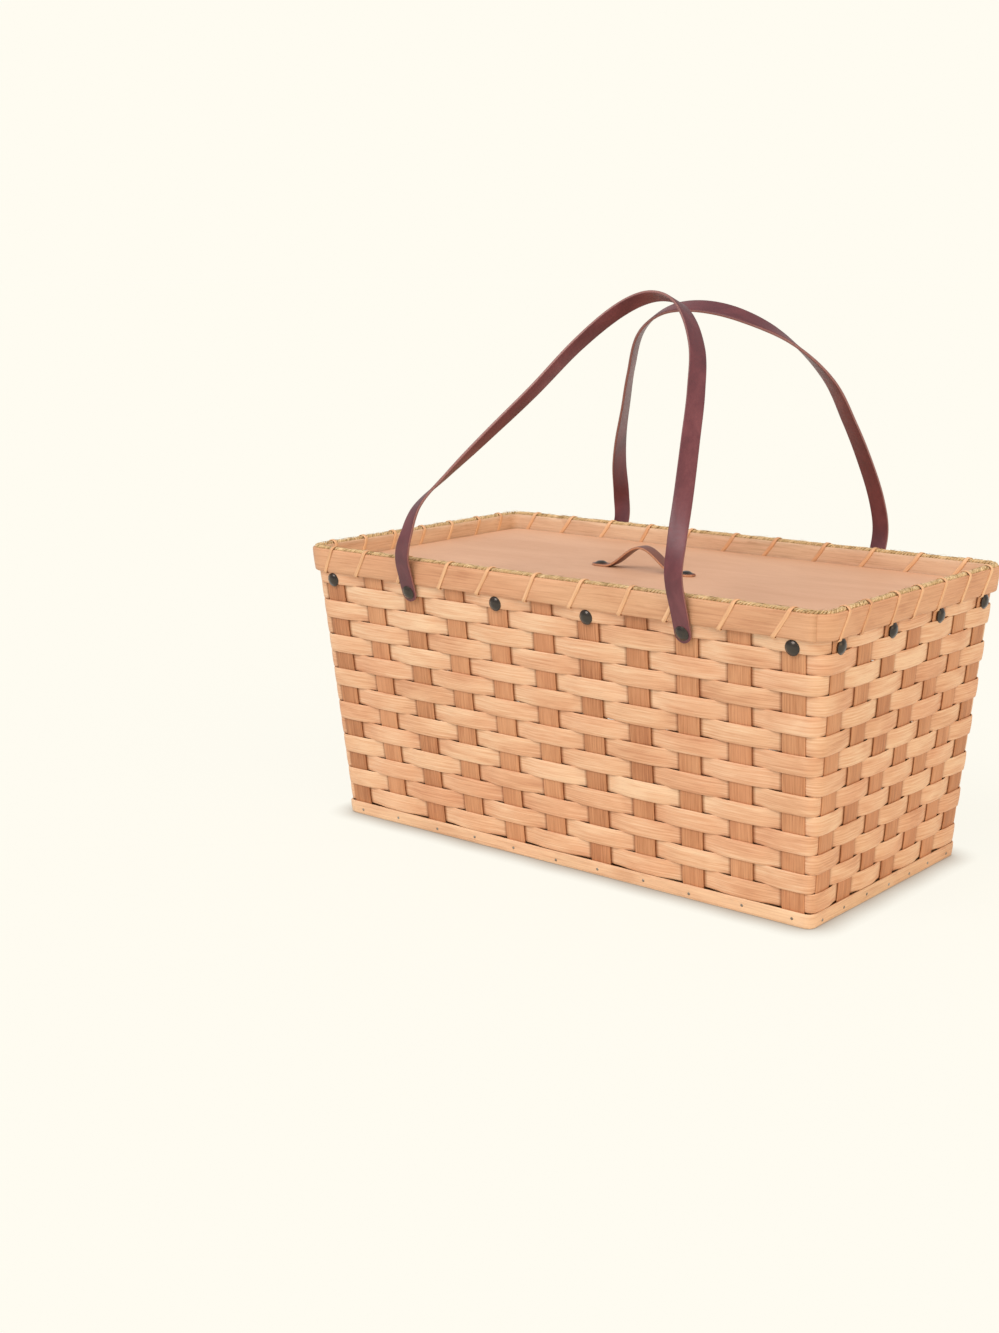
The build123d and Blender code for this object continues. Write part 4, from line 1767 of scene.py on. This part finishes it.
@dataclass(frozen=True)
class Studio:
    """The floor, the light and the camera."""

    azimuth: float = radians(40.21)
    elevation: float = radians(12.443)
    roll: float = radians(-0.281)
    camera_place: Vector = Vector((0.94654, -1.32213, 0.51680))
    focal_pixels: float = 1806.1
    photo_height: int = 1333
    sensor: float = 36.0
    cream: Colour = srgb(255, 252, 241)
    room_strength: float = 0.62
    room_colour: Colour = (1.0, 0.98, 0.96)
    floor_reach: float = 60.0
    shadow_fade: float = 0.91
    # The painted contact shadow: how far it reaches, its darkest colour, and the occlusion at which it is
    # darkest
    contact_reach: float = 0.025
    contact_shade: Colour = srgb(168, 148, 130)
    contact_share: float = 0.35
    suns: tuple[tuple[str, Vector, float, float, Colour], ...] = (
        ("key", Vector((-0.2, -1.0, 1.15)), 1.36, 0.6, (1.0, 0.97, 0.97)),
        ("side", Vector((1.0, -0.3, 0.6)), 1.08, 0.8, (1.0, 0.75, 0.46)),
    )

    def camera(self) -> None:
        """Sets up the camera where the photograph was taken from."""
        level = cos(self.elevation)
        back = Vector((
            sin(self.azimuth) * level, -cos(self.azimuth) * level, sin(self.elevation)
        ))
        level_right = Vector((cos(self.azimuth), sin(self.azimuth), 0))
        level_up = back.cross(level_right)
        right = level_right * cos(self.roll) + level_up * sin(self.roll)
        up = level_up * cos(self.roll) - level_right * sin(self.roll)
        turn = Matrix((right, up, back)).transposed().to_4x4()
        data = bpy.data.cameras.new("camera")
        data.sensor_width = self.sensor
        data.lens = self.sensor * self.focal_pixels / self.photo_height
        data.clip_end = 200
        camera = bpy.data.objects.new("camera", data)
        camera.matrix_world = Matrix.Translation(self.camera_place) @ turn
        bpy.context.scene.collection.objects.link(camera)
        bpy.context.scene.camera = camera

    def sun(self, name: str, toward: Vector, strength: float, spread: float, colour: Colour) -> None:
        """Adds one distant soft light.

        Args:
            name: The light's name.
            toward: The way from the basket to the light.
            strength: Its strength on a surface that faces it.
            spread: How wide it looks, in radians.
            colour: Its colour.
        """
        data = bpy.data.lights.new(name, "SUN")
        data.energy = strength
        data.angle = spread
        data.color = colour
        light = bpy.data.objects.new(name, data)
        light.rotation_euler = toward.to_track_quat("Z", "Y").to_euler()
        bpy.context.scene.collection.objects.link(light)

    def paper_colour(self) -> Colour:
        """The floor's own colour, at which the light on it comes back as the backdrop's cream."""
        colour = []
        for channel in range(3):
            light = self.room_strength * self.room_colour[channel]
            for _, toward, strength, _, tint in self.suns:
                light += strength * tint[channel] * toward.normalized().z / pi
            colour.append(self.cream[channel] / light)
        return tuple(colour)

    def floor(self) -> None:
        """Lays a wide paper floor of the backdrop's colour, with a soft shadow and a painted contact shadow.
        """
        mesh = bpy.data.meshes.new("studio_floor")
        reach = self.floor_reach
        corners = [(-reach, -reach, 0), (reach, -reach, 0), (reach, reach, 0), (-reach, reach, 0)]
        mesh.from_pydata(corners, [], [(0, 1, 2, 3)])
        sheet = NodeSheet("studio_paper")
        nodes = sheet.tree.nodes
        nodes.remove(sheet.shader)
        paper = sheet.add("ShaderNodeBsdfDiffuse")
        paper.inputs["Color"].default_value = (*self.paper_colour(), 1)
        glow = sheet.add("ShaderNodeEmission")
        # Painted contact shadow: the seen paper colour darkens to contact_shade where occlusion finds the
        # basket close
        nearby = sheet.add("ShaderNodeAmbientOcclusion")
        nearby.inputs["Distance"].default_value = self.contact_reach
        stops = ((self.contact_share, self.contact_shade), (1.0, self.cream))
        paper_with_painted_shadow = sheet.ramp(nearby.outputs["AO"], stops)
        sheet.join(paper_with_painted_shadow, glow.inputs["Color"])
        rays = sheet.add("ShaderNodeLightPath").outputs
        seen = sheet.sum(rays["Is Camera Ray"], rays["Is Glossy Ray"], "MAXIMUM")
        seen = sheet.sum(seen, rays["Is Transmission Ray"], "MAXIMUM")
        mix = sheet.add("ShaderNodeMixShader")
        sheet.join(sheet.sum(seen, self.shadow_fade, "MULTIPLY"), mix.inputs["Fac"])
        sheet.join(paper.outputs[0], mix.inputs[1])
        sheet.join(glow.outputs[0], mix.inputs[2])
        sheet.join(mix.outputs[0], nodes["Material Output"].inputs["Surface"])
        mesh.materials.append(sheet.material)
        floor = bpy.data.objects.new("studio_floor", mesh)
        bpy.context.scene.collection.objects.link(floor)

    def world(self) -> None:
        """Fills the room with even light, and shows the cream backdrop behind the basket."""
        world = bpy.data.worlds.new("studio_room")
        bpy.context.scene.world = world
        world.use_nodes = True
        tree = world.node_tree
        room = tree.nodes["Background"]
        room.inputs["Color"].default_value = (*self.room_colour, 1)
        room.inputs["Strength"].default_value = self.room_strength
        backdrop = tree.nodes.new("ShaderNodeBackground")
        backdrop.inputs["Color"].default_value = (*self.cream, 1)
        rays = tree.nodes.new("ShaderNodeLightPath")
        mix = tree.nodes.new("ShaderNodeMixShader")
        tree.links.new(rays.outputs["Is Camera Ray"], mix.inputs["Fac"])
        tree.links.new(room.outputs[0], mix.inputs[1])
        tree.links.new(backdrop.outputs[0], mix.inputs[2])
        tree.links.new(mix.outputs[0], tree.nodes["World Output"].inputs["Surface"])

    def build(self) -> None:
        """Sets up the whole studio."""
        bpy.context.scene.view_settings.view_transform = "Standard"
        self.camera()
        self.floor()
        self.world()
        for name, toward, strength, spread, tint in self.suns:
            self.sun(name, toward, strength, spread, tint)


def main() -> None:
    """Builds the basket, piece by piece, and the studio round it."""
    logging.basicConfig(level=logging.INFO, format="%(name)s: %(message)s")
    shape = WallShape.from_frame()
    rim_sizes = RimSizes()

    weaver = SplintFinish(
        "weaver_splint", srgb(240, 204, 167), srgb(226, 177, 138), srgb(206, 150, 112), patch_spread=0.36
    ).material()
    upright = SplintFinish(
        "upright_splint", srgb(214, 158, 116), srgb(194, 136, 95), srgb(166, 109, 72), patch_spread=0.3
    ).material()
    hoop = SplintFinish(
        "hoop_splint", srgb(226, 178, 139), srgb(214, 163, 124), srgb(196, 142, 105), patch_spread=0.36
    ).material()
    inner_hoop = SplintFinish(
        "inner_hoop_splint", srgb(229, 195, 162), srgb(217, 180, 147), srgb(198, 160, 127), patch_spread=0.36
    ).material()
    foot_band = SplintFinish(
        "foot_splint", srgb(242, 206, 168), srgb(229, 189, 152), srgb(210, 162, 125), patch_spread=0.36
    ).material()
    cane = SplintFinish(
        "cane_binding", srgb(238, 194, 150), srgb(227, 178, 134), srgb(207, 155, 113), patch_spread=0.3
    ).material()
    seagrass = SeagrassFinish().material()
    lid_board = BoardFinish("lid_board_wood", srgb(226, 181, 149), srgb(212, 164, 131)).material()
    base_board = BoardFinish("base_board_wood", srgb(216, 172, 126), srgb(196, 150, 104), 0.65).material()
    ledge_wood = BoardFinish("ledge_wood", srgb(222, 174, 126), srgb(200, 150, 104), 0.6).material()
    strap_leather = LeatherFinish(
        "strap_leather", srgb(122, 64, 69), srgb(102, 47, 54), srgb(78, 33, 42), srgb(152, 106, 100)
    ).material()
    pull_leather = LeatherFinish(
        "pull_leather", srgb(150, 96, 74), srgb(122, 72, 56), srgb(94, 52, 42), srgb(204, 150, 116)
    ).material()
    caps = CapFinish(
        "bronze_caps", (0.052, 0.042, 0.036), (0.07, 0.055, 0.042), 1.0, (0.24, 0.36), 0.5
    ).material()
    washers = CapFinish("brass_washers", (0.62, 0.44, 0.2), (0.42, 0.28, 0.13), 1.0, (0.28, 0.5)).material()
    steel = CapFinish("nail_steel", (0.42, 0.4, 0.37), (0.25, 0.2, 0.15), 1.0, (0.35, 0.6)).material()

    Weave(shape).build(weaver, upright)
    Rim(shape, rim_sizes).build(hoop, inner_hoop, seagrass, cane)
    Foot(shape).build(foot_band, steel, base_board)
    rivets = Rivets(shape)
    rivets.build(caps, washers)
    for wall in Wall:
        dress(f"{wall.name.lower()}_lid_ledge", ledge_wood)
    straps = (
        (Side.FRONT, FRONT_STRAP_ROUTE, FRONT_STRAP_TURNS),
        (Side.BACK, BACK_STRAP_ROUTE, BACK_STRAP_TURNS),
    )
    for side, route, turns in straps:
        strap = CarryingStrap(shape, side, route, turns, rivets)
        strap.build(strap_leather)
        strap.caps(caps)
    lid = Lid()
    lid.board(lid_board)
    lid.pull(pull_leather)
    lid.caps(rivets, caps)
    dress("lid_pull_washers", washers)
    Studio().build()


if __name__ == "__main__":
    main()
